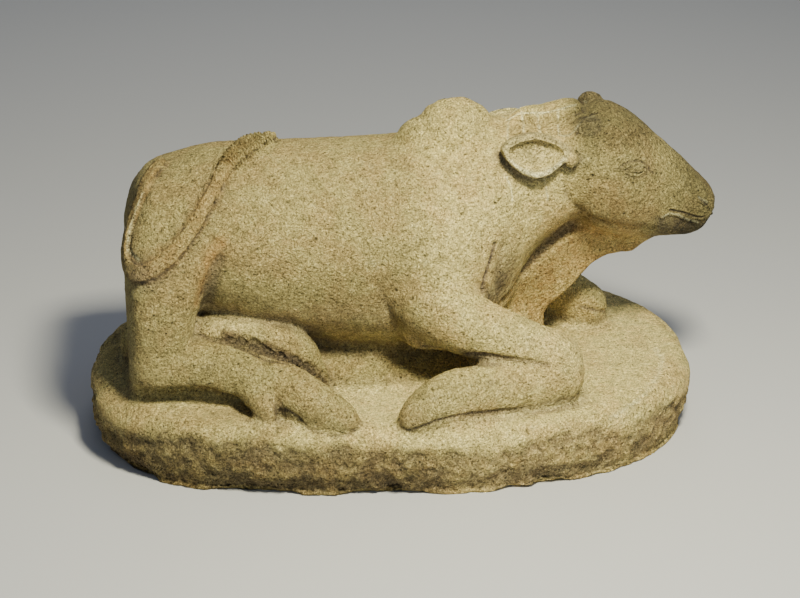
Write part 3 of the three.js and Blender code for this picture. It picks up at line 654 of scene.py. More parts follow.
@dataclass
class Legs:
    """The four folded legs, each from hip or elbow to hoof, with the cuts that part them."""

    near_fore: Sequence[Limb] = (
        Limb(((40, -130, 130, 56), (90, -157, 105, 47), (150, -176, 84, 40), (214, -186, 58, 38)), 12),
        Limb(((216, -190, 36, 40), (170, -200, 30, 40), (120, -214, 28, 38), (64, -228, 28, 37),
              (24, -246, 20, 31), (3, -254, 10, 23)), 12, 5, 0.75))
    fold: Sequence[Limb] = (
        Limb(((60, -262, 78, 6), (110, -250, 72, 6), (160, -240, 64, 5), (196, -232, 54, 3)), 5),)
    far_fore: Sequence[Limb] = (
        Limb(((70, 130, 130, 56), (140, 122, 102, 46), (225, 98, 70, 40), (306, 70, 26, 34)), 14),
        Limb(((306, 68, 10, 32), (250, 105, 22, 36), (190, 155, 24, 36), (125, 205, 22, 32),
              (75, 240, 8, 20)), 14, 5, 0.6))
    hind_feet: Sequence[Limb] = (
        Limb(((-346, -138, 53, 40), (-285, -145, 55, 37), (-225, -157, 47, 36), (-174, -180, 32, 36),
              (-135, -220, 25, 33), (-102, -240, 13, 25), (-88, -247, 6, 19)), 12, 5, 0.7),
        Limb(((-212, -188, 28, 23), (-203, -208, 19, 19), (-197, -222, 10, 14)), 9, 4, 0.6),
        Limb(((-366, 2, 28, 38), (-325, -62, 52, 38), (-286, -102, 74, 34), (-254, -112, 84, 32),
              (-222, -118, 80, 31), (-188, -128, 70, 35), (-158, -124, 55, 38), (-137, -130, 37, 27),
              (-121, -136, 21, 17), (-111, -141, 11, 9)), 6, 3, 0.45))
    hollows: Sequence[Limb] = (
        Limb(((-252, -158, 240, 2), (-266, -160, 200, 6), (-278, -158, 165, 9), (-290, -152, 120, 9)), 8),
        Limb(((-6, -150, 74, 12), (14, -168, 62, 15), (30, -190, 56, 11)), 5))
    slot_rows: Rows = ((-450, 34, 0, 44), (-340, 36, 0, 44), (-282, 34, 0, 42), (-253, 24, 0, 34),
                       (-230, 14, 0, 26), (-216, 6, 0, 18))

    def __post_init__(self) -> None:
        """Draws the limbs and cuts."""
        self.front = [part.drawn() for part in self.near_fore]
        self.between = [part.drawn() for part in self.fold]
        self.rest = [part.drawn() for part in (*self.far_fore, *self.hind_feet)]
        slot = SectionLoft(self.slot_rows, 2.6, (2, 4), -190)
        self.cuts = [([slot], 6), *(part.drawn() for part in self.hollows)]

    def add(self, d: Array, p: Array) -> Array:
        """Joins the legs to the distances so far, with the fold between near forearm and cannon."""
        return joined(-joined(-joined(d, p, self.front), p, self.between), p, self.rest)

    def cut(self, d: Array, p: Array) -> Array:
        """Cuts the slot under the hind leg and the deep hollows."""
        return -joined(-d, p, self.cuts)


@dataclass
class Head:
    """Skull, crest band, dewlap, ears, horn buds and eyes."""

    skull_rows: Rows = (
        (242, 330, 252, 62), (258, 350, 218, 80), (282, 364, 193, 88), (314, 373, 177, 87),
        (352, 355, 170, 77), (390, 321, 166, 60), (432, 283, 164, 48), (450, 264, 169, 46),
        (461, 253, 177, 44), (470, 244, 194, 38), (478, 235, 216, 24))
    crest_rows: Rows = (
        (136, 336, 315, 12), (156, 348, 320, 12), (172, 358, 322, 15), (184, 366, 325, 18),
        (200, 371, 330, 21), (218, 371, 330, 25), (238, 375, 335, 28), (254, 379, 338, 25),
(276, 378, 340, 17)) 
    def __post_init__(self) -> None:
        """Draws the head's forms."""
        self.dewlap = Dewlap()
        self.ears = [Ear(side) for side in SIDES]
        self.horns = [Egg((282, -36, 341), (26, 24, 23.5)), Egg((297, 44, 361), (20, 16, 15))]
        skull = SectionLoft(self.skull_rows, 2.2, (18, 9))
        crest = SectionLoft(self.crest_rows, 3.0, (10, 8))
        humps = [Egg((92, 0, 334), (60, 52, 55)), Egg((51, 0, 321), (46, 46, 42))]
        eyes = [Egg((341, side * 70.5, 296), (16, 11, 8)) for side in SIDES]
        temples = [Egg((266, side * 80, 315), (14, 6.5, 9)) for side in SIDES]
        knots = [Egg((246, side * 90, 320), (12.5, 11, 12)) for side in SIDES]
        self.large = (([self.dewlap], 26), ([skull], 14), (humps, 8), ([crest], 4))
        self.small = ((self.ears, 4), (self.horns, 4), (eyes, 2), (temples, 4), (knots, 2))

    def add_large(self, d: Array, p: Array) -> Array:
        """Joins dewlap, skull, hump and crest."""
        return joined(d, p, self.large)

    def add_small(self, d: Array, p: Array) -> Array:
        """Joins ears, horn buds, eyes, temples and the knots before the ears."""
        return joined(d, p, self.small)


@dataclass
class Tail(Chain):
    """Flat tail laid down the rump, looped, and drawn up over the flank to its tuft on the back."""

    trunk: Trunk
    path: Rows = (
        (-336, -8, 314, 15), (-362, -48, 284, 15), (-380, -78, 246, 15), (-389, -106, 216, 15),
        (-380, -137, 203, 15), (-361, -158, 204, 14), (-338, -163, 218, 13.5), (-316, -158, 237, 13),
        (-297, -147, 257, 12.5), (-283, -132, 273, 12.5), (-269, -113, 288, 12), (-257, -93, 300, 11.5),
        (-246, -72, 312, 11.5), (-234, -49, 320, 13), (-222, -30, 325, 16), (-207, -8, 329, 18),
        (-192, 14, 328, 18), (-178, 28, 325, 15))
    steps: int = 68
    settle_rounds: int = 12
    thickness: float = 9.5
    edge_round: float = 2.5
    tuft_start: float = 0.71

    def __post_init__(self) -> None:
        """Settles the path on the trunk."""
        rows = through(self.path, self.steps)
        rows[:, :3] = onto(self.trunk.distance, rows[:, :3], self.settle_rounds)
        super().__init__(rows)
        self.tuft = Chain(self.rows[int(self.tuft_start * len(self.rows)):])

    def band(self, p: Array, trunk: Array) -> Array:
        """Distance to the band, flattened to one thickness over the trunk at the distances given."""
        return soft_max(self.distance(p), trunk - self.thickness, self.edge_round)


@dataclass
class Carving:
    """The whole carved block as one distance field."""

    mound_rows: Rows = ((-250, 46, -46, 60), (-150, 50, -50, 100), (0, 50, -50, 112), (110, 52, -52, 96),
                        (200, 60, -60, 62))
    mound_reach: float = 50.0
    ground_reach: float = 30.0
    tail_reach: float = 1.5

    def __post_init__(self) -> None:
        """Builds the sub-assemblies in the order in which they are joined."""
        self.base = OvalBase()
        self.mound = SectionLoft(self.mound_rows, 2.0, (30, 30))
        self.trunk = Trunk()
        self.legs = Legs()
        self.head = Head()
        self.tail = Tail(self.trunk)

    def distance(self, p: Array) -> Array:
        """Distance to the finished form, without tool marks.

        Args:
            p: The points.

        Returns:
            Distance, negative inside.
        """
        trunk = self.trunk.distance(p)
        ground = soft_min(self.base.distance(p), self.mound.distance(p), self.mound_reach)
        d = self.head.add_large(soft_min(trunk, ground, self.ground_reach), p)
        d = soft_min(self.legs.add(d, p), self.tail.band(p, trunk), self.tail_reach)
        return self.legs.cut(self.head.add_small(d, p), p)


def in_chunks(form: Field, p: Array, size: int = 40000, threads: int = 4) -> Array:
    """Runs a field over many points on several threads.

    Args:
        form: Field of rows of points.
        p: The points.
        size: Points in each share of the work.
        threads: How many shares run at a time.

    Returns:
        The field's values in the points' order.
    """
    shares = np.array_split(p, max(1, len(p) // size))
    with ThreadPoolExecutor(threads) as pool:
        return np.concatenate(list(pool.map(form, shares)))


@dataclass
class Skin:
    """Closed skin of a field, found on a grid that is only filled in near the surface."""

    low: Array
    high: Array
    step: float
    block: int = 4

    def sample(self, form: Callable[[Array], Array]) -> Array:
        """Field values on the grid, exact near the surface and rough elsewhere.

        Args:
            form: Field, negative inside.

        Returns:
            The grid's values.
        """
        b = self.block
        blocks = np.ceil((self.high - self.low) / self.step / b).astype(int)
        index = np.stack(np.meshgrid(*[np.arange(n) for n in blocks], indexing="ij"), -1).reshape(-1, 3)
        centre = self.low + (index * b + (b - 1) / 2) * self.step
        coarse = in_chunks(form, centre)
        grid = np.repeat(np.repeat(np.repeat(coarse.reshape(blocks), b, 0), b, 1), b, 2).astype(np.float32)
        near = np.abs(coarse) < b * self.step * 1.25 + 4.0
        offsets = np.stack(np.meshgrid(*[np.arange(b)] * 3, indexing="ij"), -1).reshape(-1, 3)
        cells = (index[near][:, None] * b + offsets[None]).reshape(-1, 3)
        grid[tuple(cells.T)] = in_chunks(form, self.low + cells * self.step)
        return grid

    @staticmethod
    def close_pinches(grid: Array, rounds: int = 6) -> Array:
        """Fills grid faces whose corners touch only across a diagonal, so that no edge has four faces.

        Args:
            grid: The grid's values.
            rounds: Most times the grid is searched.

        Returns:
            The same grid, mended.
        """
        for _ in range(rounds):
            changed = 0
            for u, v in ((0, 1), (0, 2), (1, 2)):
                corner = {}
                for du in (0, 1):
                    for dv in (0, 1):
                        cut = [slice(None)] * 3
                        cut[u] = slice(du, grid.shape[u] - 1 + du)
                        cut[v] = slice(dv, grid.shape[v] - 1 + dv)
                        corner[du, dv] = grid[tuple(cut)]
                for a, b in (((0, 0), (1, 0)), ((1, 0), (0, 0))):
                    other_a, other_b = (1 - a[0], 1 - a[1]), (1 - b[0], 1 - b[1])
                    bad = (corner[a] < 0) & (corner[other_a] < 0) & (corner[b] >= 0) & (corner[other_b] >= 0)
                    changed += int(bad.sum())
                    corner[b][bad] = -0.05
            if not changed:
                break
        return grid

    def wrap(self, form: Callable[[Array], Array]) -> tuple[Array, Array]:
        """Finds the skin.

        Args:
            form: Field, negative inside.

        Returns:
            Vertices, and quads that face outwards.
        """
        grid = self.close_pinches(self.sample(form))
        inside = grid < 0
        shape = np.array(grid.shape)
        strides = np.array([shape[1] * shape[2], shape[2], 1])
        flat = grid.ravel()
        cell_parts, place_parts, quad_parts, turn_parts = [], [], [], []
        for axis in range(3):
            a = [slice(1, -1)] * 3
            b = [slice(1, -1)] * 3
            a[axis], b[axis] = slice(1, -2), slice(2, -1)
            start = np.argwhere(inside[tuple(a)] != inside[tuple(b)]) + 1
            lo = flat[start @ strides]
            hi = flat[start @ strides + strides[axis]]
            place = start.astype(float)
            place[:, axis] += lo / (lo - hi)
            u, v = [i for i in range(3) if i != axis]
            if axis == 1:
                u, v = v, u
            ring = [(0, 0), (1, 0), (1, 1), (0, 1)]
            around = np.stack([(start @ strides) - du * strides[u] - dv * strides[v] for du, dv in ring], 1)
            cell_parts.append(around.ravel())
            place_parts.append(np.repeat(place, 4, 0))
            quad_parts.append(around)
            turn_parts.append(lo < 0)
        cells, index = np.unique(np.concatenate(cell_parts), return_inverse=True)
        places = np.concatenate(place_parts)
        count = np.bincount(index)
        vertices = np.stack([np.bincount(index, places[:, c]) / count for c in range(3)], 1)
        quads = np.searchsorted(cells, np.concatenate(quad_parts))
        turn = np.concatenate(turn_parts)
        quads[turn] = quads[turn][:, ::-1]
        return self.low + vertices * self.step, quads[:, ::-1]


@dataclass(frozen=True)
class Stroke:
    """One cut along a smooth line, or a ridge where its depth is negative.

    The skin is refined under it up to its level of fineness, and a pale one keeps the dust of the cut.
    """

    points: Rows
    width: float
    depth: float
    both_sides: bool = False
    fine: int = 1
    pale: float = 0.0

    def closeness(self, p: Array, line: Array, lift: Array | None = None) -> Array:
        """How close each point is to the settled line along the skin.

        Args:
            p: The points.
            line: The line, settled on the skin.
            lift: How far each point lies off the uncut skin, where that is known.

        Returns:
            From 0 to 1 on the line.
        """
        q = p.copy()
        if self.both_sides:
            q[:, 1] = -np.abs(q[:, 1])
        reach = 3.0 * self.width
        near = np.all((q > line.min(0) - reach) & (q < line.max(0) + reach), 1)
        out = np.zeros(len(p))
        if near.any():
            q = q[near]
            best = np.full(len(q), np.inf)
            for a, b in zip(line[:-1], line[1:]):
                off = beside(q, a, b)[1]
                np.minimum(best, (off * off).sum(1), out=best)
            if lift is not None:
                best = np.maximum(best - lift[near] ** 2, 0.0)
            out[near] = np.exp(-best / self.width**2)
        return out

    def drawn_closeness(self, p: Array) -> Array:
        """How close each point is to the line as drawn."""
        return self.closeness(p, np.array(self.points, float))


STROKES = (
    # Eye: crease and ridge over it, cuts round the ball, lower lid, corners and pupil
    Stroke([(318, -84, 303), (325, -81, 306.5), (336, -76, 308.5), (348, -71, 307), (359, -67, 300),
            (366, -65, 292)], 1.9, 1.5, True, 2),
    Stroke([(323, -82, 299), (331, -80, 303), (340, -77, 304.5), (350, -73, 303), (358, -70, 297)],
            1.5, -1.3, True, 2),
    Stroke([(325, -82, 297.5), (332, -80, 300), (341, -78, 301), (350, -75, 299.5), (357, -72, 296)],
            1.15, 1.5, True, 2),
    Stroke([(326, -82, 297), (333, -80.5, 293.5), (343, -79, 292), (351, -76.5, 292.5), (357, -73, 295.5)],
            1.1, 1.2, True, 2),
    Stroke([(325, -82, 296), (334, -81, 290), (345, -79, 288), (354, -76.5, 289), (361, -73, 293)],
            1.5, -1.4, True, 2),
    Stroke([(327, -82, 291), (338, -80, 285.5), (347, -78, 283.5), (356, -75, 284.5), (364, -71, 289)],
            1.6, 1.1, True, 2),
    Stroke([(311, -85, 302), (318, -83, 300.5), (326, -82, 298)], 1.4, 1.2, True, 2),
    Stroke([(357, -73, 297), (366, -68, 291), (372, -64, 285)], 1.8, 1.5, True, 2),
    Stroke([(341, -78, 296), (345, -78, 296)], 2.0, 0.8, True, 2),
    # Mouth, its lower lip, and the nostril with its edge
    Stroke([(401, -55, 223), (413, -52, 219), (426, -49, 214), (439, -46, 208), (450, -45, 205),
            (456, -44, 206)], 1.9, 2.4, True, 2),
    Stroke([(390, -56, 213), (396, -56, 216), (404, -54, 216.5), (416, -51, 212), (427, -47, 205),
            (437, -45, 201), (446, -43, 197)], 1.5, -0.9, True, 2, 1.0),
    Stroke([(447, -45, 236), (453, -45, 230), (459, -44, 224)], 2.0, 2.4, True, 2),
    Stroke([(445, -44, 238), (452, -44, 233), (459, -43, 228)], 1.4, -0.8, True, 2, 0.9),
    # Cheek line with the hollow behind it
    Stroke([(239, -82, 281), (244, -81, 260), (256, -75, 242), (275, -67, 224), (295, -69, 214),
            (318, -66, 205), (357, -56, 195), (381, -49, 191)], 5.5, 2.2, True, 0),
    Stroke([(236, -84, 290), (241, -82, 272), (249, -80, 254), (263, -73, 236), (285, -70, 219),
            (310, -67, 208)], 2.8, 2.2, True, 0),
    # Lines cut down the neck from the crest, and the curve that leads to the horn bud
    Stroke([(167, -8, 363), (167, -14, 353), (164, -34, 348), (162, -49, 343), (160, -64, 336)],
            1.35, 1.0, True, 1, 0.75),
    Stroke([(157, -106, 307), (159, -100, 288), (159, -102, 266)], 1.3, 0.8, True, 1, 0.6),
    Stroke([(188, -6, 364), (188, -19, 354), (186, -37, 348), (186, -52, 341)], 1.35, 1.0, True, 1, 0.75),
    Stroke([(210, -13, 364), (209, -24, 354), (209, -40, 348), (209, -58, 339)], 1.35, 1.0, True, 1, 0.75),
    Stroke([(210, -84, 289), (213, -85, 274), (216, -85, 258)], 1.3, 0.8, True, 1, 0.6),
    Stroke([(238, -19, 365), (237, -29, 355), (235, -50, 346)], 1.35, 1.0, True, 1, 0.75),
    Stroke([(235, -50, 345), (246, -53, 344), (256, -48, 348), (262, -42, 354), (268, -38, 360),
            (276, -34, 366), (288, -30, 371)], 1.6, 1.1, True, 1, 0.6),
    # Edge of the crest and the step under it
    Stroke([(166, -6, 356), (181, -9, 363), (198, -16, 367), (216, -20, 369), (231, -21, 371),
            (248, -20, 374), (266, -14, 376)], 1.7, -0.9, True, 1, 0.7),
    Stroke([(168, -20, 354), (184, -25, 354), (202, -30, 354), (220, -34, 355), (238, -37, 357),
            (254, -33, 360)], 4.0, 1.6, True, 0),
    # Edge behind the horn bud
    Stroke([(260, -53, 346), (262, -45, 354), (270, -35, 362), (284, -21, 364), (295, -25, 367)],
            2.0, 2.2, True),
    # Groove between neck roll and dewlap
    Stroke([(262, -36, 190), (240, -36, 176), (215, -42, 154), (196, -46, 134), (176, -60, 116),
            (152, -90, 104)], 8.0, 6.0, True, 0),
    # Line between shoulder and chest, and the elbow
    Stroke([(134, -133, 213), (128, -137, 192), (121, -139, 168), (117, -138, 144)], 3.2, 4.2),
    Stroke([(146, -122, 206), (143, -126, 180), (144, -118, 150), (150, -104, 122)], 12.0, 5.5, False, 0),
    Stroke([(-34, -153, 166), (-26, -149, 140), (-17, -144, 113), (-7, -125, 82)], 4.5, 3.6, False, 0),
    # Thigh and flank
    Stroke([(-229, -134, 259), (-242, -143, 242), (-254, -149, 221), (-267, -151, 199), (-275, -147, 173),
            (-284, -145, 152)], 3.6, 3.2, False, 0),
    Stroke([(-252, -149, 214), (-260, -148, 190), (-267, -142, 164), (-272, -124, 136)], 10.0, 6.5, False, 0),
    # Fold between near forearm and cannon, and the undercut of the front hoof
    Stroke([(24, -165, 62), (60, -190, 62), (100, -203, 75), (130, -212, 74), (168, -220, 70),
            (196, -224, 65)], 3.2, 4.0),
    Stroke([(-20, -262, -1), (-4, -274, -2), (9, -277, 4), (37, -276, 11), (81, -262, 11), (140, -247, 7),
            (199, -233, 1), (238, -218, 0)], 3.0, 2.6),
    # Far knee
    Stroke([(292, 30, 36), (308, 34, 30), (326, 44, 22), (344, 66, 12)], 2.6, 2.0),
    # Crease between the two hind feet, and the notch under near dewclaw and hoof
    Stroke([(-284, -136, 98), (-272, -141, 92), (-247, -148, 88), (-217, -164, 81), (-193, -177, 74),
            (-172, -176, 68), (-150, -180, 60), (-130, -190, 54), (-115, -205, 48)], 2.6, 3.2),
    Stroke([(-190, -226, 3), (-183, -222, 12), (-172, -230, 18), (-163, -239, 15), (-154, -245, 8),
            (-145, -250, 0), (-134, -255, -4), (-110, -263, -8), (-91, -266, -7), (-77, -262, -1)], 2.6, 2.2),
    # Bevel along the inner edge of the tail's loop
    Stroke([(-357, -61, 286), (-371, -81, 260), (-379, -106, 233), (-378, -121, 224), (-368, -142, 219)],
            2.4, 0.8, False, 1, 0.8),
    # Worn ring on the base in front of the chest
    Stroke([(286, -243, -12), (334, -205, -3), (367, -156, 0), (392, -92, 0), (393, -40, 0)],
            3.4, 1.0, False, 0, 0.3),
)


def ripple(p: Array, wavelength: float, seed: int, waves: int = 9) -> Array:
    """Seeded smooth wobble of about unit size.

    Args:
        p: Points.
        wavelength: Typical distance between crests.
        seed: Seed of the wave directions and phases.
        waves: How many waves are added.

    Returns:
        One value for each point.
    """
    rng = np.random.default_rng(seed)
    way = rng.normal(size=(waves, 3))
    way *= (rng.uniform(0.6, 1.5, waves) * 2 * np.pi / wavelength / np.linalg.norm(way, axis=1))[:, None]
    phase = rng.uniform(0, 2 * np.pi, waves)
    return np.sin(p @ way.T + phase).sum(1) * math.sqrt(2 / waves)


@dataclass
class Relief:
    """Carved lines, folds and breaks that are finer than the solids."""

    carving: Carving
    strand_spacing: float = 6.8
    strand_depth: float = 2.4
    strand_slant: float = 0.35
    strand_reach: Row = (25.0, 19.0)
    full_seam_depth: float = 2.1
    lip: Row = (6.5, 3.5)
    crust_depth: float = 2.0
    # Broken crust along the far foot; its band is also painted darker as shade under the crust's overhang
    broken: Stroke = Stroke([(-250, -140, 94), (-237, -145, 92), (-210, -155, 86), (-182, -162, 77),
                             (-154, -162, 61), (-130, -156, 43), (-107, -147, 20)], 9.0, 0.0)

    def __post_init__(self) -> None:
        """Settles the strokes of the head, neck, flanks and legs on the skin."""
        form = self.carving.distance
        self.marks = [(mark, onto(form, through(mark.points, STROKE_STEPS))) for mark in STROKES]

    def seam(self, p: Array, off: Array) -> Array:
        """Where the cut lines are darkened, partly as grime and partly as painted shade, from 0 to 1.

        Args:
            p: The points.
            off: Their distance off the uncut skin.

        Returns:
            From 0 to 1 at each point.
        """
        cuts = [(mark, line) for mark, line in self.marks if mark.depth > 0 and not mark.pale and mark.fine]
        return np.maximum.reduce([min(1.0, mark.depth / self.full_seam_depth) * mark.closeness(p, line, off)
                                  for mark, line in cuts])

    def line(self, p: Array, off: Array) -> Array:
        """Where the cut lines are pale with their dust, and the painted highlight along each ear's lower lip,
        from 0 to 1.

        Args:
            p: The points.
            off: Their distance off the uncut skin.

        Returns:
            From 0 to 1 at each point.
        """
        shares = [mark.pale * mark.closeness(p, line, off) for mark, line in self.marks if mark.pale]
        # Painted highlight along the upward face of each ear's lower lip
        inset, width = self.lip
        for ear in self.carving.head.ears:
            along, out, up = ear.local(p)
            lip = np.exp(-(((ear.leaf(along, up) + inset) / width) ** 2))
            shares.append(0.6 * lip * ramp(up, 0, -9) * ramp(out, 4, 9) * ramp(ear.distance(p), 5, 2))
        return np.maximum.reduce(shares)

    def fineness(self, p: Array, level: int) -> Array:
        """Which points lie on detail that needs a finer skin.

        Args:
            p: The points.
            level: 1 for the first refinement, 2 for the second.

        Returns:
            True where the level is needed.
        """
        near = [mark.closeness(p, line) > 0.012 for mark, line in self.marks if mark.fine >= level]
        near.append(self.carving.tail.tuft.distance(p) < 2.0)
        if level == 1:
            for ear in self.carving.head.ears:
                along, out, up = ear.local(p)
                near.append((np.abs(ear.leaf(along, up) + 7.0) < 13.0) & (np.abs(out) < 18.0) & (out > -4.0))
            near.extend(horn.distance(p) < 3.0 for horn in self.carving.head.horns)
            near.append(self.broken.drawn_closeness(p) > 0.2)
        return np.logical_or.reduce(near)

    def tuft(self, p: Array) -> Array:
        """Slanting strands twisted round the end of the tail.

        Args:
            p: The points.

        Returns:
            Depth of the strands, negative on their ridges.
        """
        line = self.carving.tail.tuft.rows[:, :3]
        far, full = self.strand_reach
        out = np.zeros(len(p))
        near = np.all((p > line.min(0) - 22) & (p < line.max(0) + 22), 1)
        if not near.any():
            return out
        q = p[near]
        lengths = np.concatenate([[0.0], np.cumsum(np.linalg.norm(np.diff(line, axis=0), axis=1))])
        best, along, across = np.full(len(q), np.inf), np.zeros(len(q)), np.zeros(len(q))
        for i, (a, b) in enumerate(zip(line[:-1], line[1:])):
            t, off = beside(q, a, b)
            d = np.sqrt((off * off).sum(1))
            side = np.cross((b - a) / np.linalg.norm(b - a), (0.0, 0.0, 1.0))
            closer = d < best
            best = np.where(closer, d, best)
            along = np.where(closer, lengths[i] + t * (lengths[i + 1] - lengths[i]), along)
            across = np.where(closer, off @ side, across)
        twist = along + self.strand_slant * across + 2.5 * np.sin(across / 9.0)
        strand = np.sin(2 * np.pi * twist / self.strand_spacing)
        out[near] = self.strand_depth * strand * (ramp(along, 0.0, 25.0) * ramp(best, far, full))
        return out

    def chips(self, p: Array) -> Array:
        """Depth of the broken crust along the far foot, and of the base's lower rim.

        Args:
            p: The points.

        Returns:
            The depths.
        """
        crust = self.crust_depth * self.broken.drawn_closeness(p) * (0.3 + 0.8 * ripple(p, 14, 21))
        rim = ramp(p[:, 2], -62, -98) * ramp(self.carving.base.rim(p), -50, -30)
        return crust + rim * np.maximum(0.0, 2.0 + 0.9 * ripple(p, 46, 23) + 2.0 * ripple(p, 150, 24))

    def sunk(self, p: Array, off: Array) -> Array:
        """All relief together.

        Args:
            p: The points.
            off: Their distance off the uncut skin.

        Returns:
            How deep the skin is cut away, negative where it is raised.
        """
        total = self.tuft(p) + self.chips(p)
        for mark, line in self.marks:
            total += mark.depth * mark.closeness(p, line, off)
        return total


class Mask(Enum):
    """Values that the carving leaves on each point for its finish."""

    ROUGH = "rough"
    HOLLOW = "hollow"
    RIDGE = "ridge"
    WORN_AND_LIT = "worn_and_lit"
    RUST_AND_SHADE = "rust_and_shade"
    DARK = "dark"
    SEAM = "seam"
    LINE = "line"
    TONE = "tone"


# How freely the pecking may move each point
FREE = "free"


@dataclass(frozen=True)
class Spot:
    """Soft patch that fades out over its half sizes; an endless half size leaves that axis out."""

    centre: Row
    size: Row
    share: float = 1.0

    def at(self, p: Array) -> Array:
        """The patch's share at each point."""
        return self.share * np.exp(-(((p - np.array(self.centre)) / np.array(self.size)) ** 2).sum(1))


def spotted(p: Array, spots: Sequence[Spot]) -> Array:
    """All spots of a mask together at each point."""
    return np.sum([spot.at(p) for spot in spots], 0)


@dataclass
class PatinaAndLight:
    """Where the stone is pecked rough, dirty, pale with wear, stained or dark, and where light and shade are
    painted into its colour.
    """

    carving: Carving
    relief: Relief
    solid: Field
    shut_reaches: Rows = ((7.0, 0.45), (20.0, 0.4), (55.0, 0.15))
    edge_depth: float = 9.0
    even_pecking: float = 0.1
    crease: Stroke = Stroke([(-252, -144, 238), (-264, -150, 219), (-273, -152, 198), (-280, -150, 175),
                             (-287, -147, 154)], 11.0, 0.0)
    pecked_chest: Spot = Spot((158, -96, 150), (26, 40, 52), 0.45)
    # Painted light on the far leg's top and on the base between the legs; paler on the knee; whitish spots of
    # wear
    rubbed_and_lit: Sequence[Spot] = (
        Spot((-235, -118, 104), (72, 30, 18), 0.8), Spot((-30, -190, 0), (90, 60, 14), 0.5),
        Spot((215, -190, 95), (60, 60, 40), 0.4), Spot((-205, -152, 94), (9, 10, 9)),
        Spot((-144, -128, 90), (12, 12, 9)), Spot((290, 34, 6), (16, 14, 12)))
    # Under the jaw, cheek and chest
    stained: Sequence[Spot] = (
        Spot((285, 0, 200), (70, math.inf, 24), 0.75), Spot((300, 0, 245), (60, math.inf, 40), 0.35),
        Spot((160, -96, 140), (40, 50, 56), 0.4))
    # Partly weathering, partly painted shade in the tail's loop; darker in the thigh fold; painted shade in
    # the eye socket, on the chest under the head and in the hole behind the elbow; darker at the knot before
    # the ear; and small inclusions
    darkened: Sequence[Spot] = (
        Spot((-366, -156, 202), (30, 24, 18)), Spot((-272, -142, 160), (12, 16, 26), 0.55),
        Spot((340, 0, 300), (26, math.inf, 15), 0.3), Spot((150, -112, 150), (24, 26, 46), 0.75),
        Spot((0, -172, 48), (26, 26, 20), 0.6), Spot((252, 0, 313), (9, math.inf, 8), 0.6),
        Spot((170, -212, 99), (4.5, 4.5, 4.5)), Spot((112, -245, 53), (4, 4, 4)),
        Spot((219, -265, -15), (4.5, 4.5, 4.5)), Spot((-273, -181, 69), (5, 5, 5)))
    # Painted light on the far leg's top; darker on the near cannon; painted shade on the lower flank and on
    # the chest under the head
    toned: Sequence[Spot] = (
        Spot((-235, -118, 104), (70, 26, 16), 0.8), Spot((100, -258, 48), (90, 30, 26), -0.5),
        Spot((-60, -160, 130), (120, 60, 60), -0.3), Spot((150, -112, 150), (24, 26, 46), -0.5))

    def belly(self, p: Array) -> Array:
        """The trunk's dark underside between the legs.

        Args:
            p: The points.

        Returns:
            From 0 to 1 at each point.
        """
        x, _, h = p.T
        return (ramp(h, 160, 105) * ramp(np.abs(x + 125), 190, 145)
                * ramp(self.carving.trunk.distance(p), 6, 1))

    @staticmethod
    def chin(p: Array) -> Array:
        """The muzzle's underside, below a line that rises toward the nose."""
        x, _, h = p.T
        return ramp(x, 372, 392) * ramp(h - 0.25 * (440 - x), 208, 198)

    def rough(self, p: Array) -> Array:
        """Pecked crust: the base's side, and weaker on tail, hump, hooves, far foot and chest.

        Args:
            p: The points.

        Returns:
            The crust's share, from 0 to 1.
        """
        x, y, h = p.T
        base = self.carving.base
        edge = h + 9.0 * ripple(p, 150, 31) + 4.0 * ripple(p, 40, 32)
        side = ramp(base.rim(p), -62, -22) * ramp(edge, -12, -36)
        tail = 0.3 * ramp(self.carving.tail.distance(p), 5.0, 1.0)
        hump = 0.34 * ramp(h, 338, 352) * ramp(np.abs(x - 76), 70, 52) * ramp(np.abs(y), 62, 48)
        foot = 0.75 * self.relief.broken.drawn_closeness(p)
        hooves = 0.3 * ramp(h, 40, 6) * ramp(h, -14, -2) * ramp(base.distance(p), 2, 8)
        crust = np.maximum.reduce([side, tail, hump, foot, self.pecked_chest.at(p), hooves])
        return np.clip(np.maximum(crust, self.even_pecking), 0, 1)

    def hollow(self, p: Array, normal: Array) -> Array:
        """How shut in each point is; the finish darkens such points, partly as grime and partly as painted
        shade.

        Args:
            p: The points.
            normal: Their normals.

        Returns:
            From 0 in the open to 1 in a deep crease.
        """
        total = np.zeros(len(p))
        for reach, weight in self.shut_reaches:
            clear = in_chunks(self.solid, p + normal * reach)
            total += weight * np.clip(1.0 - clear / reach, 0.0, 1.0)
        return np.clip(total, 0, 1)

    def ridge(self, p: Array, normal: Array) -> Array:
        """How far each point stands on an edge, from 0 to 1."""
        inner = in_chunks(self.solid, p - normal * self.edge_depth)
        return np.clip((inner / self.edge_depth + 1.0) * 2.2, 0, 1) * ramp(p[:, 2], -96, -76)

    def worn_and_lit(self, p: Array) -> Array:
        """Pale: painted light on the top of the base, between the legs too, and on the far leg's top; paler
        on the knee; whitish spots of wear.
        """
        top = ramp(np.abs(p[:, 2]), 16, 4) * ramp(self.carving.base.rim(p), -16, -50)
        return np.clip(0.45 * top + spotted(p, self.rubbed_and_lit), 0, 1)

    def rust_and_shade(self, p: Array) -> Array:
        """Orange-brown stain: thigh crease, dewlap, cheek, under the jaw, chest, tail and the base's side;
        under the far foot's crust it is painted shade.

        Args:
            p: The points.

        Returns:
            The stain's share, from 0 to 1.
        """
        x, _, h = p.T
        crease = 1.3 * self.crease.drawn_closeness(p)
        # Painted shade under the far foot's overhanging crust
        foot = 0.7 * self.relief.broken.drawn_closeness(p)
        hanging = ramp(self.carving.head.dewlap.distance(p), 16, 3)
        sheet = 0.55 * hanging * ramp(h, 215, 170) * ramp(x, 130, 190)
        side = 0.35 * ramp(h, -20, -60)
        band = 0.55 * ramp(self.carving.tail.distance(p), 4, 0) * ramp(x, -200, -240)
        return np.clip(crease + foot + sheet + spotted(p, self.stained) + side + band, 0, 1)

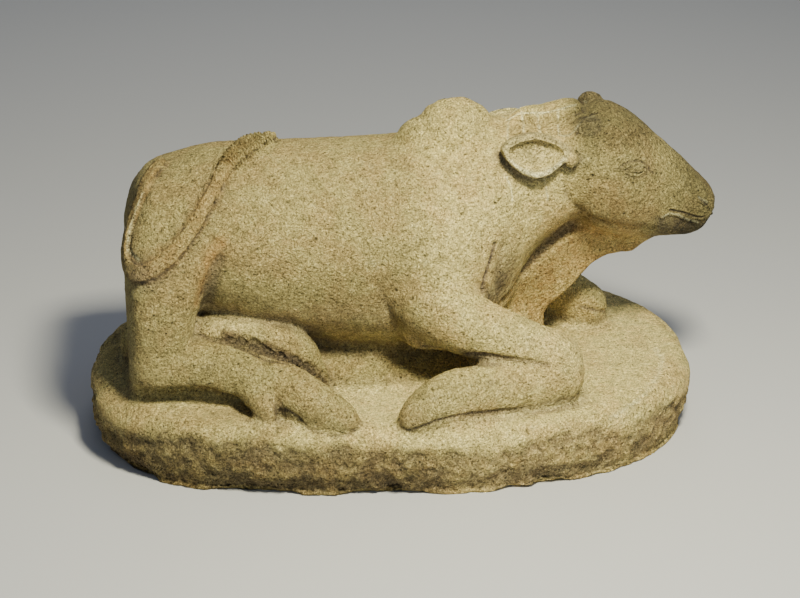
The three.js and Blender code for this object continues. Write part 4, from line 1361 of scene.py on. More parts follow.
    def dark(self, p: Array) -> Array:
        """Darker colour: weathering on the chin, horn buds, ears' rims and small inclusions; grey on the
        belly's underside as painted fill light; painted shade under the far foot's crust; partly weathering,
        partly painted shade along the tail's loop; and the darkened spots.

        Args:
            p: The points.

        Returns:
            The patina's share, from 0 to 1.
        """
        x, _, h = p.T
        head = self.carving.head
        off_tail = self.carving.tail.distance(p)
        chin = 0.9 * self.chin(p) * ramp(h, 130, 165)
        # Partly weathering, partly painted shade along the inner side of the tail's loop
        inside = 0.28 * ramp(off_tail, 18, 3) * ramp(off_tail, 0, 3) * ramp(x, -215, -245)
        buds = 0.55 * np.maximum.reduce([ramp(horn.distance(p), 4, -1) for horn in head.horns])
        rims = [ramp(ear.leaf(*ear.local(p)[::2]), -13, -6) * ramp(ear.distance(p), 3, 0)
                for ear in head.ears]
        ears = 0.55 * np.maximum.reduce(rims)
        # Painted shade under the far foot's overhanging crust, partly the crust's own colour
        foot = 0.75 * self.relief.broken.drawn_closeness(p)
        # The belly's share greys its underside as painted fill light
        shaded = chin + 0.5 * self.belly(p) + inside + buds + ears + foot
        return np.clip(shaded + spotted(p, self.darkened), 0, 1)

    def body_tone(self, p: Array) -> Array:
        """How bright the figure is: lighter in front and darker on the rump as painted falloff of the light,
        browned on brow and muzzle.

        Args:
            p: The points.

        Returns:
            A factor on the stone's colour.
        """
        x, y, h = p.T
        # Painted falloff of the light, lighter toward the front, and painted fill light brightening the
        # belly's underside
        body = 1.05 + 0.16 * ramp(x, -240, -150) + 0.55 * ramp(x, -10, 80) + 0.6 * self.belly(p)
        # Painted light and shade from the toned spots, and painted shade under the far foot's crust
        body += spotted(p, self.toned) - 0.4 * self.relief.broken.drawn_closeness(p)
        # Painted shade on the upper neck under the crest's edge
        body -= 0.42 * ramp(np.abs(x - 218), 66, 50) * ramp(h, 334, 344) * ramp(np.abs(y), 14, 22)
        head = 0.92 - 0.42 * ramp(h, 305, 345) - 0.42 * ramp(x, 385, 440) - 0.12 * self.chin(p)
        on_head = ramp(x, 236, 272) * ramp(h + 45 * ramp(x, 340, 390), 180, 215)
        body += (head - body) * on_head
        hanging = ramp(h, 215, 185) * ramp(x, 150, 200) * ramp(np.abs(y), 60, 46)
        return body + (1.5 - body) * hanging * (1 - on_head)

    def base_tone(self, p: Array) -> Array:
        """How bright the base is, as a factor: pale on top, darker down its side, and darker to the rear as
        painted falloff of the light.

        Args:
            p: The points.

        Returns:
            The factors.
        """
        x, _, h = p.T
        # Painted falloff of the light: the base darker toward the rear
        rear, front = ramp(x, -260, -60), ramp(x, -20, 120)
        top = 1.5 + 0.5 * ramp(x, -280, -90)
        upper = 1.1 + 0.25 * rear + 0.65 * front
        lower = 0.95 + 0.2 * rear + 0.8 * front
        side = upper + (lower - upper) * ramp(h, -38, -74)
        return top + (side - top) * ramp(h + 6 * ripple(p, 60, 41), -14, -34)

    def tone(self, p: Array) -> Array:
        """How bright the stone is, with its painted light and shade, halved to fit between 0 and 1.

        Args:
            p: The points.

        Returns:
            From 0 to 1 at each point.
        """
        body = self.body_tone(p)
        on_base = ramp(self.carving.base.distance(p), 5, 1) * ramp(p[:, 2], 12, 2)
        return np.clip((body + (self.base_tone(p) - body) * on_base) / 2, 0, 1)

    def marks(self, p: Array, normal: Array) -> dict[Mask, Array]:
        """All masks for the finished points.

        Args:
            p: The points.
            normal: Their normals.

        Returns:
            One array for each mask.
        """
        off = in_chunks(self.solid, p)
        return {
            Mask.ROUGH: self.rough(p),
            Mask.HOLLOW: self.hollow(p, normal),
            Mask.RIDGE: self.ridge(p, normal),
            Mask.WORN_AND_LIT: self.worn_and_lit(p),
            Mask.RUST_AND_SHADE: self.rust_and_shade(p),
            Mask.DARK: self.dark(p),
            Mask.SEAM: self.relief.seam(p, off),
            Mask.LINE: self.relief.line(p, off),
            Mask.TONE: self.tone(p),
        }


class NodeSheet:
    """Small helper that adds and joins nodes in one tree."""

    columns = 12

    def __init__(self, tree: bpy.types.NodeTree) -> None:
        """Keeps the tree and a counter for tidy places."""
        self.tree = tree
        self.count = 0

    def socket(self, node: bpy.types.Node, key: str) -> bpy.types.NodeSocket:
        """A node's input by its name with underscores, or by its place as i0, i1."""
        return node.inputs[int(key[1:]) if key[0] == "i" and key[1:].isdigit() else key.replace("_", " ")]

    def add(self, kind: str, settings: dict | None = None, **inputs: object) -> bpy.types.Node:
        """Adds a node.

        Args:
            kind: The node's type.
            settings: Node properties to set first.
            inputs: Values, or output sockets to join, under the keys that socket reads.

        Returns:
            The node.
        """
        node = self.tree.nodes.new(kind)
        node.location = (180 * (self.count % self.columns), -220 * (self.count // self.columns))
        self.count += 1
        for key, value in (settings or {}).items():
            setattr(node, key, value)
        for key, value in inputs.items():
            if isinstance(value, bpy.types.NodeSocket):
                self.tree.links.new(value, self.socket(node, key))
            else:
                self.socket(node, key).default_value = value
        return node

    def math(self, operation: str, *values: object, clamp: bool = False) -> bpy.types.NodeSocket:
        """Result of a Math node."""
        given = {f"i{i}": value for i, value in enumerate(values)}
        return self.add("ShaderNodeMath", {"operation": operation, "use_clamp": clamp}, **given).outputs[0]

    def times(self, a: object, b: object) -> bpy.types.NodeSocket:
        """Product of two values."""
        return self.math("MULTIPLY", a, b)

    def less(self, value: object, share: float) -> bpy.types.NodeSocket:
        """1 less a share of a value."""
        return self.math("SUBTRACT", 1.0, self.times(value, share))

    def vector_math(self, operation: str, a: object, b: object) -> bpy.types.NodeSocket:
        """Vector result of a Vector Math node."""
        return self.add("ShaderNodeVectorMath", {"operation": operation}, i0=a, i1=b).outputs[0]

    def scaled(self, vector: object, factor: object) -> bpy.types.NodeSocket:
        """A vector or colour times a value."""
        return self.add("ShaderNodeVectorMath", {"operation": "SCALE"}, i0=vector, Scale=factor).outputs[0]

    def noise(self, place: object, scale: float, detail: float, roughness: float) -> bpy.types.NodeSocket:
        """Value of a noise at a place."""
        given = {"Scale": scale, "Detail": detail, "Roughness": roughness}
        return self.add("ShaderNodeTexNoise", Vector=place, **given).outputs[0]

    def span(self, value: object, low: float, high: float, to: Row = (0.0, 1.0)) -> bpy.types.NodeSocket:
        """Smooth Map Range of a value.

        Args:
            value: What is mapped.
            low: Value that gives the first of to.
            high: Value that gives the second.
            to: The two results.

        Returns:
            The result.
        """
        settings = {"interpolation_type": "SMOOTHSTEP"}
        node = self.add("ShaderNodeMapRange", settings, i0=value, i1=low, i2=high, i3=to[0], i4=to[1])
        return node.outputs[0]

    def paint(self, share: object, under: object, tint: Row) -> bpy.types.NodeSocket:
        """Lays a share of a tint over a colour."""
        return self.add("ShaderNodeMix", {"data_type": "RGBA"}, i0=share, i6=under, i7=(*tint, 1)).outputs[2]


def new_group(name: str, kind: str, inputs: Iterable[tuple], outputs: Iterable[tuple]) -> tuple:
    """Makes a node group with named sockets.

    Args:
        name: Its name.
        kind: ShaderNodeTree or GeometryNodeTree.
        inputs: Name, socket type and default of each input.
        outputs: Name and socket type of each output.

    Returns:
        Its sheet, its input node and its output node.
    """
    tree = bpy.data.node_groups.new(name, kind)
    for label, socket, *default in inputs:
        made = tree.interface.new_socket(name=label, in_out="INPUT", socket_type=SOCKET + socket)
        if default:
            made.default_value = default[0]
    for label, socket in outputs:
        tree.interface.new_socket(name=label, in_out="OUTPUT", socket_type=SOCKET + socket)
    sheet = NodeSheet(tree)
    return sheet, sheet.add("NodeGroupInput"), sheet.add("NodeGroupOutput")


def bent_cells(sheet: NodeSheet, place: object, density: object, wobble: float) -> tuple:
    """Scattered cells with uneven edges.

    Args:
        sheet: Where the nodes go.
        place: The place that is read.
        density: Cells per metre.
        wobble: How far the edges wander, in metres.

    Returns:
        Distance from each cell's middle, and the cell's three chance values.
    """
    bend = sheet.add("ShaderNodeTexNoise", Vector=place, Scale=170.0, Detail=2.0)
    offset = sheet.scaled(sheet.vector_math("SUBTRACT", bend.outputs["Color"], (0.5, 0.5, 0.5)), wobble)
    cells = sheet.add("ShaderNodeTexVoronoi", Vector=sheet.vector_math("ADD", place, offset), Scale=density)
    chance = sheet.add("ShaderNodeSeparateColor", Color=cells.outputs["Color"])
    return cells.outputs["Distance"], chance.outputs


def grain_group() -> bpy.types.NodeTree:
    """Shader group of mineral grains: a tone to multiply colours by, and a height."""
    sheet, given, result = new_group(
        "Mineral grain", "ShaderNodeTree",
        [("Vector", "Vector"), ("Grains per metre", "Float", 330.0), ("Dark share", "Float", 0.12),
         ("Light share", "Float", 0.15)],
        [("Tone", "Float"), ("Height", "Float")])
    given, place = given.outputs, given.outputs["Vector"]
    distance, chance = bent_cells(sheet, place, given["Grains per metre"], 0.004)
    dome = sheet.span(distance, 0.66, 0.2)
    dark = sheet.times(sheet.math("LESS_THAN", chance[0], given["Dark share"]), dome)
    light = sheet.times(sheet.math("LESS_THAN", chance[1], given["Light share"]), dome)
    middle = sheet.noise(place, 330.0, 3.0, 0.75)
    fine = sheet.noise(place, 640.0, 2.0, 0.7)
    ground = sheet.times(sheet.span(middle, 0.36, 0.64, (0.66, 1.34)),
                         sheet.span(fine, 0.34, 0.66, (0.7, 1.3)))
    toned = sheet.math("SUBTRACT", ground, sheet.times(dark, 0.5))
    toned = sheet.math("MAXIMUM", sheet.math("ADD", toned, sheet.times(light, 0.5)), 0.16)
    height = sheet.math("MULTIPLY_ADD", fine, 0.6, sheet.times(middle, 1.1))
    height = sheet.math("MULTIPLY_ADD", dome, 0.3, height)
    height = sheet.math("SUBTRACT", height, sheet.times(dark, 0.45))
    sheet.tree.links.new(toned, result.inputs["Tone"])
    sheet.tree.links.new(height, result.inputs["Height"])
    return sheet.tree


def pit_group() -> bpy.types.NodeTree:
    """Shader group of scattered pits: how deep inside a pit a point is, and a height."""
    sheet, given, result = new_group(
        "Scattered pits", "ShaderNodeTree",
        [("Vector", "Vector"), ("Pits per metre", "Float", 72.0), ("Share", "Float", 0.7)],
        [("Pit", "Float"), ("Height", "Float")])
    given = given.outputs
    distance, chance = bent_cells(sheet, given["Vector"], given["Pits per metre"], 0.008)
    here = sheet.math("LESS_THAN", chance[0], given["Share"])
    wide = sheet.math("MULTIPLY_ADD", chance[1], 0.17, 0.1)
    depth = sheet.math("SUBTRACT", 1.0, sheet.math("DIVIDE", distance, wide), clamp=True)
    pit = sheet.times(depth, here)
    sheet.tree.links.new(pit, result.inputs["Pit"])
    sheet.tree.links.new(sheet.times(pit, -1.0), result.inputs["Height"])
    return sheet.tree


def pecking_tree() -> bpy.types.NodeTree:
    """Geometry Nodes tree that drives pecking into a skin, deepest where its rough mask is full."""
    sizes = {"Coarse": (0.022, 0.0075), "Fine": (0.0085, 0.0045), "Wave": (0.06, 0.0011),
             "Grit": (0.01, 0.0013)}
    named = [(f"{kind} {word}", "Float", value) for kind, pair in sizes.items()
             for word, value in zip(("size", "depth"), pair)]
    sheet, given, result = new_group(
        "Pecked skin", "GeometryNodeTree",
        [("Geometry", "Geometry"), *named, ("Seed", "Int", SEED), ("Stone", "Material")],
        [("Geometry", "Geometry")])
    given = given.outputs
    place = sheet.add("GeometryNodeInputPosition").outputs[0]
    rough, free = (sheet.add("GeometryNodeInputNamedAttribute", {"data_type": "FLOAT"}, Name=name).outputs[0]
                   for name in (Mask.ROUGH.value, FREE))
    depth: object = 0.0
    for kind, strength, detail in (("Coarse", rough, 2.0), ("Fine", rough, 2.0), ("Grit", free, 2.0),
                                   ("Wave", free, 1.0)):
        scale = sheet.math("DIVIDE", 1.0, given[f"{kind} size"])
        noise = sheet.add("ShaderNodeTexNoise", {"noise_dimensions": "4D"}, Vector=place, W=given["Seed"],
                          Scale=scale, Detail=detail)
        share = sheet.times(sheet.math("SUBTRACT", 0.72, noise.outputs[0]), given[f"{kind} depth"])
        depth = sheet.math("ADD", depth, sheet.times(share, strength))
    depth = sheet.times(sheet.times(depth, free), -2.0)
    shift = sheet.scaled(sheet.add("GeometryNodeInputNormal").outputs[0], depth)
    moved = sheet.add("GeometryNodeSetPosition", Geometry=given["Geometry"], Offset=shift)
    real = sheet.add("GeometryNodeRealizeInstances", Geometry=moved.outputs[0])
    dressed = sheet.add("GeometryNodeSetMaterial", Geometry=real.outputs[0], Material=given["Stone"])
    sheet.tree.links.new(dressed.outputs[0], result.inputs["Geometry"])
    return sheet.tree


@dataclass(frozen=True)
class AndesiteFinish:
    """Weathered fine grained stone: colours in linear light, and depths of its bumps in metres."""

    ground: Row = (0.352, 0.291, 0.109)
    second: Row = (0.335, 0.252, 0.095)
    green_grey: Row = (0.235, 0.215, 0.112)
    # Pale tint of wear and edges, also used for painted light on lit tops
    pale: Row = (0.47, 0.41, 0.18)
    # Pale dust of the cut lines, also used as a painted highlight on the ears' lower lips
    chisel_dust_and_highlight: Row = (0.66, 0.61, 0.34)
    # Orange-brown of stains, also used as painted shade under the far foot's crust
    rust_and_shade: Row = (0.39, 0.205, 0.06)
    # Dark colour of grime in hollows and cut lines, also used there as painted shade
    dirt_and_shade: Row = (0.085, 0.063, 0.043)
    # Dark weathering, also used for painted shade and for the belly's painted fill light
    patina_and_shade: Row = (0.12, 0.096, 0.07)
    roughness: float = 0.92
    specular: float = 0.28
    grain_depth: float = 0.004
    pit_depth: float = 0.0038
    knock_depth: float = 0.0072

    def colour(self, sheet: NodeSheet, mask: dict, noises: dict) -> bpy.types.NodeSocket:
        """Lays the stone's tints over each other, from its ground to the pale dust of the cut lines, with
        painted light and shade among them.

        Args:
            sheet: Where the nodes go.
            mask: The piece's masks.
            noises: Noise values by name.

        Returns:
            The colour before its grain.
        """
        mottle, broken = noises["mottle"], noises["broken"]
        colour = sheet.paint(sheet.span(noises["clouds"], 0.4, 0.64), (*self.ground, 1), self.second)
        colour = sheet.paint(sheet.times(sheet.span(mottle, 0.52, 0.72), 0.42), colour, self.green_grey)
        colour = sheet.paint(sheet.times(sheet.span(broken, 0.56, 0.7), 0.35), colour, self.pale)
        # Pale tint: wear, and painted light on lit tops; rust tint: stains, and painted shade under the far
        # foot's crust; dark tint: weathering, painted shade and the belly's painted fill light
        for kind, tint, low, high, most in (
                (Mask.WORN_AND_LIT, self.pale, 0.62, 0.3, 0.6), (Mask.RUST_AND_SHADE, self.rust_and_shade, 0.6, 0.3, 0.8),
                (Mask.DARK, self.patina_and_shade, 0.66, 0.3, 0.9)):
            share = sheet.times(mask[kind], sheet.span(mottle, low, high, (0.45, 1.0)))
            colour = sheet.paint(sheet.times(share, most), colour, tint)
        colour = sheet.paint(sheet.times(mask[Mask.RIDGE], 0.35), colour, self.pale)
        # Hollows and creases darkened: partly grime, partly painted shade
        shut = sheet.span(sheet.math("ADD", mask[Mask.HOLLOW], sheet.times(broken, 0.12)), 0.3, 0.88)
        shut = sheet.times(shut, sheet.less(mask[Mask.WORN_AND_LIT], 0.75))
        colour = sheet.paint(sheet.times(shut, 0.72), colour, self.dirt_and_shade)
        # Darker cut lines, partly grime and partly painted shade; then pale cut lines with their dust, and a
        # painted highlight on each ear's lower lip
        for kind, tint, low, to in ((Mask.SEAM, self.dirt_and_shade, 0.3, (0.6, 0.92)),
                                    (Mask.LINE, self.chisel_dust_and_highlight, 0.34, (0.35, 1.0))):
            colour = sheet.paint(sheet.times(mask[kind], sheet.span(broken, low, 0.6, to)), colour, tint)
        return colour

    def bumps(self, sheet: NodeSheet, rough: object, heights: Sequence[object]) -> bpy.types.NodeSocket:
        """Stacks the grain, the pits and the knocks, deeper where the stone is rough.

        Args:
            sheet: Where the nodes go.
            rough: The rough mask.
            heights: Heights of grain, pits and knocks.

        Returns:
            The normal.
        """
        grain, pits, knocks = heights
        layers = ((self.grain_depth, sheet.times(sheet.math("MULTIPLY_ADD", rough, 1.1, 0.9), grain)),
                  (self.pit_depth, pits),
                  (self.knock_depth, sheet.times(knocks, sheet.math("MULTIPLY_ADD", rough, 0.7, 0.6))))
        under: dict = {}
        for depth, height in layers:
            bump = sheet.add("ShaderNodeBump", Strength=1.0, Distance=depth, Height=height, **under)
            under = {"Normal": bump.outputs[0]}
        return under["Normal"]

    def build(self, name: str) -> bpy.types.Material:
        """Makes the material.

        Args:
            name: The material's name.

        Returns:
            A material that reads Object coordinates and the piece's masks.
        """
        material = bpy.data.materials.new(name)
        material.use_nodes = True
        material.node_tree.nodes.clear()
        sheet = NodeSheet(material.node_tree)
        place = sheet.add("ShaderNodeTexCoord").outputs["Object"]
        mask = {m: sheet.add("ShaderNodeAttribute", {"attribute_name": m.value}).outputs["Fac"] for m in Mask}
        grain, pits = (sheet.add("ShaderNodeGroup", {"node_tree": group()}, Vector=place).outputs
                       for group in (grain_group, pit_group))
        noises = {key: sheet.noise(place, *settings) for key, settings in (
            ("clouds", (16.0, 4.0, 0.6)), ("mottle", (70.0, 5.0, 0.7)), ("broken", (150.0, 3.0, 0.65)),
            ("knocks", (200.0, 1.0, 0.4)))}
        tone = sheet.times(grain["Tone"], sheet.span(noises["mottle"], 0.3, 0.7, (0.77, 1.23)))
        # The tone mask carries painted light and shade as well as the stone's own tone
        tone = sheet.times(sheet.times(tone, sheet.times(mask[Mask.TONE], 2.0)), sheet.less(pits["Pit"], 0.7))
        normal = self.bumps(sheet, mask[Mask.ROUGH], (grain["Height"], pits["Height"], noises["knocks"]))
        bsdf = sheet.add("ShaderNodeBsdfPrincipled", Normal=normal,
                         Base_Color=sheet.scaled(self.colour(sheet, mask, noises), tone),
                         Roughness=sheet.math("SUBTRACT", self.roughness, sheet.times(mask[Mask.WORN_AND_LIT], 0.1)),
                         Specular_IOR_Level=self.specular)
        sheet.add("ShaderNodeOutputMaterial", i0=bsdf.outputs[0])
        return material


def vertex_normals(v: Array, tris: Array) -> Array:
    """Unit normals of a triangle mesh's vertices.

    Args:
        v: Vertices.
        tris: Triangles.

    Returns:
        One normal for each vertex.
    """
    face = np.cross(v[tris[:, 1]] - v[tris[:, 0]], v[tris[:, 2]] - v[tris[:, 0]])
    total = np.zeros_like(v)
    for corner in range(3):
        for axis in range(3):
            total[:, axis] += np.bincount(tris[:, corner], face[:, axis], len(v))
    return total / np.maximum(np.linalg.norm(total, axis=1), 1e-9)[:, None]


def halved(v: Array, quads: Array) -> Array:
    """Triangles of a quad mesh, each quad cut along its shorter diagonal.

    Args:
        v: Vertices.
        quads: Quads.

    Returns:
        Two triangles for each quad.
    """
    first = np.linalg.norm(v[quads[:, 0]] - v[quads[:, 2]], axis=1)
    second = np.linalg.norm(v[quads[:, 1]] - v[quads[:, 3]], axis=1)
    turned = np.where((second < first)[:, None], np.roll(quads, -1, 1), quads)
    return np.vstack([turned[:, (0, 1, 2)], turned[:, (0, 2, 3)]])


def refined(v: Array, tris: Array, chosen: Array) -> tuple[Array, Array]:
    """Cuts the chosen triangles in four and their neighbours to match.

    Args:
        v: Vertices.
        tris: Triangles.
        chosen: Which triangles are cut.

    Returns:
        Vertices with the new ones at the end, and the triangles.
    """
    ends = np.sort(np.stack([tris, np.roll(tris, -1, 1)], -1).reshape(-1, 2), 1)
    keys, first, index = np.unique(ends[:, 0] * len(v) + ends[:, 1], return_index=True, return_inverse=True)
    index = index.reshape(-1, 3)
    cut = np.zeros(len(keys), bool)
    cut[index[chosen].ravel()] = True
    names = np.cumsum(cut) - 1 + len(v)
    marked, middle = cut[index], names[index]
    count = marked.sum(1)
    t, n = tris[count == 3], middle[count == 3]
    parts = [tris[count == 0], n]
    parts += [np.stack([t[:, i], n[:, i], n[:, i - 1]], 1) for i in range(3)]
    for cuts, lead in ((1, np.argmax(marked, 1)), (2, np.argmin(marked, 1))):
        here = count == cuts
        turn = (lead[here][:, None] + np.arange(3)) % 3
        t = np.take_along_axis(tris[here], turn, 1)
        n = np.take_along_axis(middle[here], turn, 1)
        if cuts == 1:
            parts += [np.stack([t[:, 0], n[:, 0], t[:, 2]], 1), np.stack([n[:, 0], t[:, 1], t[:, 2]], 1)]
        else:
            parts += [np.stack([n[:, 1], t[:, 2], n[:, 2]], 1), np.stack([t[:, 1], n[:, 1], n[:, 2]], 1),
                      np.stack([t[:, 1], n[:, 2], t[:, 0]], 1)]
    return np.vstack([v, v[ends[first[cut]]].mean(1)]), np.vstack(parts)


@dataclass
class CarvedBull:
    """The figure and its base as one skin of stone."""

    finish: AndesiteFinish
    step: float = GRID_STEP
    slack: Row = (14.0, 14.0, 12.0)
    longest_move: float = 3.0
    settle_share: float = 0.85
    rest_band: float = 0.8
    calmed: float = 0.75
    slope_reach: float = 1.5

    def __post_init__(self) -> None:
        """Works out the scale from the frame and sets up the field."""
        low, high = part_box(STONE_NODE)
        self.metres = (high.x - low.x) / DRAWN_LENGTH
        self.low, self.high = self.to_drawn(np.array(low)), self.to_drawn(np.array(high))
        self.carving = Carving()
        self.relief = Relief(self.carving)
        self.patina_and_shade = PatinaAndLight(self.carving, self.relief, self.solid)

    def to_metres(self, v: Array) -> Array:
        """Drawn millimetres over the base's top, to the frame's metres."""
        return (v + (0, 0, BASE_HEIGHT)) * self.metres

    def to_drawn(self, v: Array) -> Array:
        """The frame's metres to drawn millimetres over the base's top."""
        return v / self.metres - (0, 0, BASE_HEIGHT)

    def solid(self, p: Array) -> Array:
        """The form, cut off flat at the underside."""
        return np.maximum(self.carving.distance(p), -BASE_HEIGHT - p[:, 2])

    def carved(self, p: Array) -> Array:
        """The form with its relief."""
        off = self.solid(p)
        return off + self.relief.sunk(p, off)

    def settle(self, v: Array, tris: Array, rounds: int) -> Array:
        """Moves the skin along its normals onto the form with its relief.

        Args:
            v: Vertices.
            tris: Triangles.
            rounds: How many moves are made.

        Returns:
            The moved vertices, those of the underside still flat.
        """
        resting = v[:, 2] < -BASE_HEIGHT + self.rest_band
        for _ in range(rounds):
            normal = vertex_normals(v, tris)
            depth = np.clip(in_chunks(self.carved, v), -self.longest_move, self.longest_move)
            v = v - normal * depth[:, None] * self.settle_share
            v[resting, 2] = -BASE_HEIGHT
        return v

    def skin(self) -> tuple[Array, Array, Array]:
        """Settled vertices and triangles, closer together on fine detail, and which vertices must stay."""
        reach = np.array(self.slack)
        v, quads = Skin(self.low - reach, self.high + reach, self.step).wrap(self.solid)
        tris = halved(v, quads)
        v = self.settle(v, tris, 3)
        keep = np.zeros(len(v), bool)
        for level in (1, 2):
            fine = in_chunks(lambda q: self.relief.fineness(q, level), v)
            chosen = fine[tris].any(1)
            keep[tris[chosen].ravel()] = True
            v, tris = refined(v, tris, chosen)
            keep = np.concatenate([keep, np.ones(len(v) - len(keep), bool)])
            v = self.settle(v, tris, 2)
            LOG.info("level %d: %d points, %d kept", level, len(v), keep.sum())
        return v, tris, keep

    def mesh_from(self, v: Array, tris: Array, keep: Array) -> bpy.types.Object:
        """Makes the unpecked blank, with the masks that the pecking needs.

        Args:
            v: Drawn vertices.
            tris: Triangles.
            keep: Vertices that no thinning may take.

        Returns:
            The blank, in metres.
        """
        mesh = bpy.data.meshes.new("stone_blank")
        mesh.vertices.add(len(v))
        mesh.vertices.foreach_set("co", self.to_metres(v).ravel())
        mesh.loops.add(tris.size)
        mesh.loops.foreach_set("vertex_index", tris.ravel())
        mesh.polygons.add(len(tris))
        mesh.polygons.foreach_set("loop_start", np.arange(len(tris)) * 3)
        mesh.update(calc_edges=True)
        self.write(mesh, Mask.ROUGH.value, self.patina_and_shade.rough(v))
        on_tuft = ramp(self.carving.tail.tuft.distance(v), 6, 2)
        calm = 1.0 - self.calmed * np.maximum(self.relief.fineness(v, 2), on_tuft)
        self.write(mesh, FREE, calm * ramp(v[:, 2], -BASE_HEIGHT, -BASE_HEIGHT + 6))
        blank = bpy.data.objects.new("stone_blank", mesh)
        bpy.context.scene.collection.objects.link(blank)
        blank.vertex_groups.new(name="thin").add(np.flatnonzero(~keep).tolist(), 1.0, "REPLACE")
        return blank

    @staticmethod
    def write(mesh: bpy.types.Mesh, name: str, values: Array) -> None:
        """Keeps one value for each point under a name."""
        mesh.attributes.new(name, "FLOAT", "POINT").data.foreach_set("value", values.astype(np.float32))

    def peck(self, blank: bpy.types.Object, stone: bpy.types.Material) -> bpy.types.Mesh:
        """Runs the pecking tree and the thinning of facets.

        Args:
            blank: The unpecked skin.
            stone: Its material.

        Returns:
            The plain mesh.
        """
        tooling = blank.modifiers.new("pecking", "NODES")
        tooling.node_group = pecking_tree()
        sockets = {item.name: item.identifier for item in tooling.node_group.interface.items_tree
                   if item.item_type == "SOCKET" and item.in_out == "INPUT"}
        tooling[sockets["Stone"]] = stone
        tooling[sockets["Seed"]] = SEED
        thin = blank.modifiers.new("thinning", "DECIMATE")
        thin.ratio = TRIANGLE_LIMIT / len(blank.data.polygons)
        thin.vertex_group = "thin"
        thin.use_collapse_triangulate = True
        shown = blank.evaluated_get(bpy.context.evaluated_depsgraph_get())
        return bpy.data.meshes.new_from_object(shown, preserve_all_data_layers=False)

    def finish_mesh(self, mesh: bpy.types.Mesh) -> None:
        """Keeps the skin inside the CAD box, smooths its shading and writes its masks.

        Args:
            mesh: The pecked mesh.
        """
        points = np.empty(len(mesh.vertices) * 3, np.float32)
        mesh.vertices.foreach_get("co", points)
        points = points.reshape(-1, 3).astype(float)
        low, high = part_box(STONE_NODE)
        points = np.clip(points, np.array(low), np.array(high))
        points[points[:, 2] < UNDERSIDE_BAND, 2] = 0.0
        mesh.vertices.foreach_set("co", points.ravel())
        mesh.update()
        for name in (Mask.ROUGH.value, FREE):
            if name in mesh.attributes:
                mesh.attributes.remove(mesh.attributes[name])
        drawn = self.to_drawn(points)
        slope = np.stack([in_chunks(self.solid, drawn + s) - in_chunks(self.solid, drawn - s)
                          for s in self.slope_reach * np.eye(3)], 1)
        normals = slope / np.maximum(np.linalg.norm(slope, axis=1), 1e-6)[:, None]
        for mark, values in self.patina_and_shade.marks(drawn, normals).items():
            self.write(mesh, mark.value, values)
        mesh.shade_smooth()
        LOG.info("%s: %d triangles", PIECE_NAME, len(mesh.polygons))

    def build(self) -> bpy.types.Object:
        """Makes the finished piece.

        Returns:
            The piece at the origin, with its masks and finish.
        """
        stone = self.finish.build("andesite_weathered")
        blank = self.mesh_from(*self.skin())
        mesh = self.peck(blank, stone)
        bpy.data.objects.remove(blank)
        mesh.name = PIECE_NAME
        self.finish_mesh(mesh)
        mesh.materials.clear()
        mesh.materials.append(stone)
        piece = bpy.data.objects.new(PIECE_NAME, mesh)
        bpy.context.scene.collection.objects.link(piece)
        return piece


@dataclass(frozen=True)
class Lamp:
    """Soft square light: its name, place, size, power and colour."""

    name: str
    place: Row
    size: float
    power: float
    colour: Row


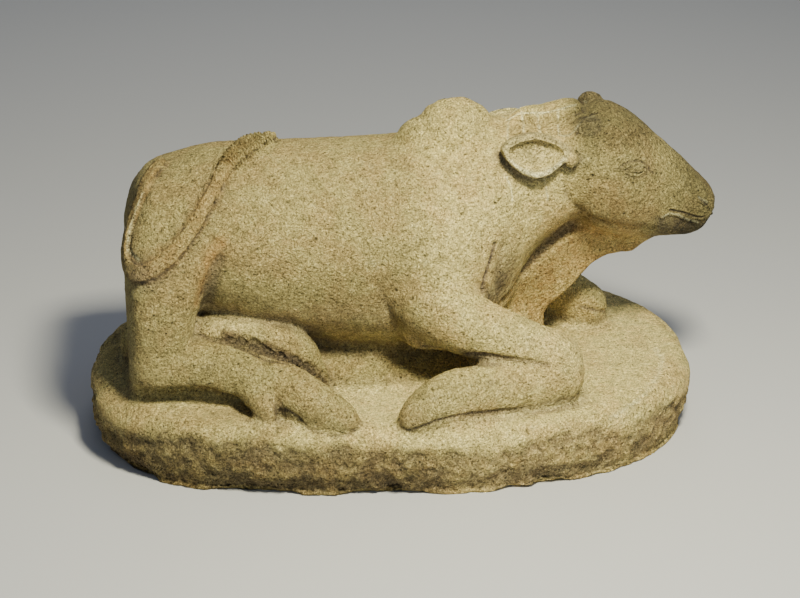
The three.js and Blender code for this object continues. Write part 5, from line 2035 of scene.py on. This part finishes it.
@dataclass
class Studio:
    """Pale floor, soft lights and the camera at the photograph's viewing angle."""

    azimuth: float = -6.5
    elevation: float = 24.0
    distance: float = 3.2
    target: Row = (0.013, 0.0, 0.182)
    lens_to_sensor: float = 2.7
    sensor: float = 36.0
    floor_half: float = 30.0
    floor_colour: Row = (0.5, 0.5, 0.51)
    surround: Row = (0.68, 0.79, 1.0)
    surround_power: float = 0.2
    lamps: Sequence[Lamp] = (Lamp("key", (0.28, -1.17, 1.84), 0.34, 88, (1.0, 0.96, 0.73)),
                             Lamp("fill", (0.9, -2.9, 0.6), 1.8, 17, (0.76, 0.89, 1.0)),
                             Lamp("rim", (0.2, 2.2, 2.4), 1.6, 12, (1.0, 0.98, 0.95)))

    @staticmethod
    def put(name: str, data: bpy.types.ID) -> bpy.types.Object:
        """Adds an object to the scene.

        Args:
            name: The object's name.
            data: Its mesh, lamp or lens.

        Returns:
            The object.
        """
        made = bpy.data.objects.new(name, data)
        bpy.context.scene.collection.objects.link(made)
        return made

    def camera(self) -> None:
        """Places the camera and makes it the scene's."""
        a, e = math.radians(self.azimuth), math.radians(self.elevation)
        back = Vector((math.sin(a) * math.cos(e), -math.cos(a) * math.cos(e), math.sin(e)))
        lens = bpy.data.cameras.new("camera")
        lens.sensor_width = self.sensor
        lens.lens = self.lens_to_sensor * self.sensor
        lens.clip_end = 100.0
        view = self.put("camera", lens)
        view.location = Vector(self.target) + back * self.distance
        view.rotation_euler = back.to_track_quat("Z", "Y").to_euler()
        bpy.context.scene.camera = view

    def floor(self) -> None:
        """Lays the floor at the underside's height."""
        h = self.floor_half
        mesh = bpy.data.meshes.new("floor")
        mesh.from_pydata([(-h, -h, 0), (h, -h, 0), (h, h, 0), (-h, h, 0)], [], [(0, 1, 2, 3)])
        material = bpy.data.materials.new("pale_floor")
        material.use_nodes = True
        bsdf = material.node_tree.nodes["Principled BSDF"]
        bsdf.inputs["Base Color"].default_value = (*self.floor_colour, 1)
        bsdf.inputs["Roughness"].default_value = 0.9
        mesh.materials.append(material)
        ground = self.put("floor", mesh)

    def light(self, lamp: Lamp) -> None:
        """Adds a light that faces the figure.

        Args:
            lamp: The light.
        """
        data = bpy.data.lights.new(lamp.name, "AREA")
        data.size, data.energy, data.color = lamp.size, lamp.power, lamp.colour
        lit = self.put(lamp.name, data)
        lit.location = lamp.place
        lit.rotation_euler = (Vector(lamp.place) - Vector(self.target)).to_track_quat("Z", "Y").to_euler()

    def build(self) -> None:
        """Sets up floor, lights, surround and camera."""
        self.camera()
        self.floor()
        for lamp in self.lamps:
            self.light(lamp)
        world = bpy.context.scene.world or bpy.data.worlds.new("surround")
        bpy.context.scene.world = world
        world.use_nodes = True
        sky = world.node_tree.nodes["Background"]
        sky.inputs["Color"].default_value = (*self.surround, 1)
        sky.inputs["Strength"].default_value = self.surround_power
        LOG.info("studio: floor, %d lights, camera", len(self.lamps))


def main() -> None:
    """Builds the stone piece and the studio around it."""
    logging.basicConfig(level=logging.INFO, format="%(name)s: %(message)s")
    Studio().build()
    piece = CarvedBull(AndesiteFinish()).build()
    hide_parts(STONE_NODE)
    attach(piece, "root")
    LOG.info("%s rides on root", piece.name)


if __name__ == "__main__":
    main()
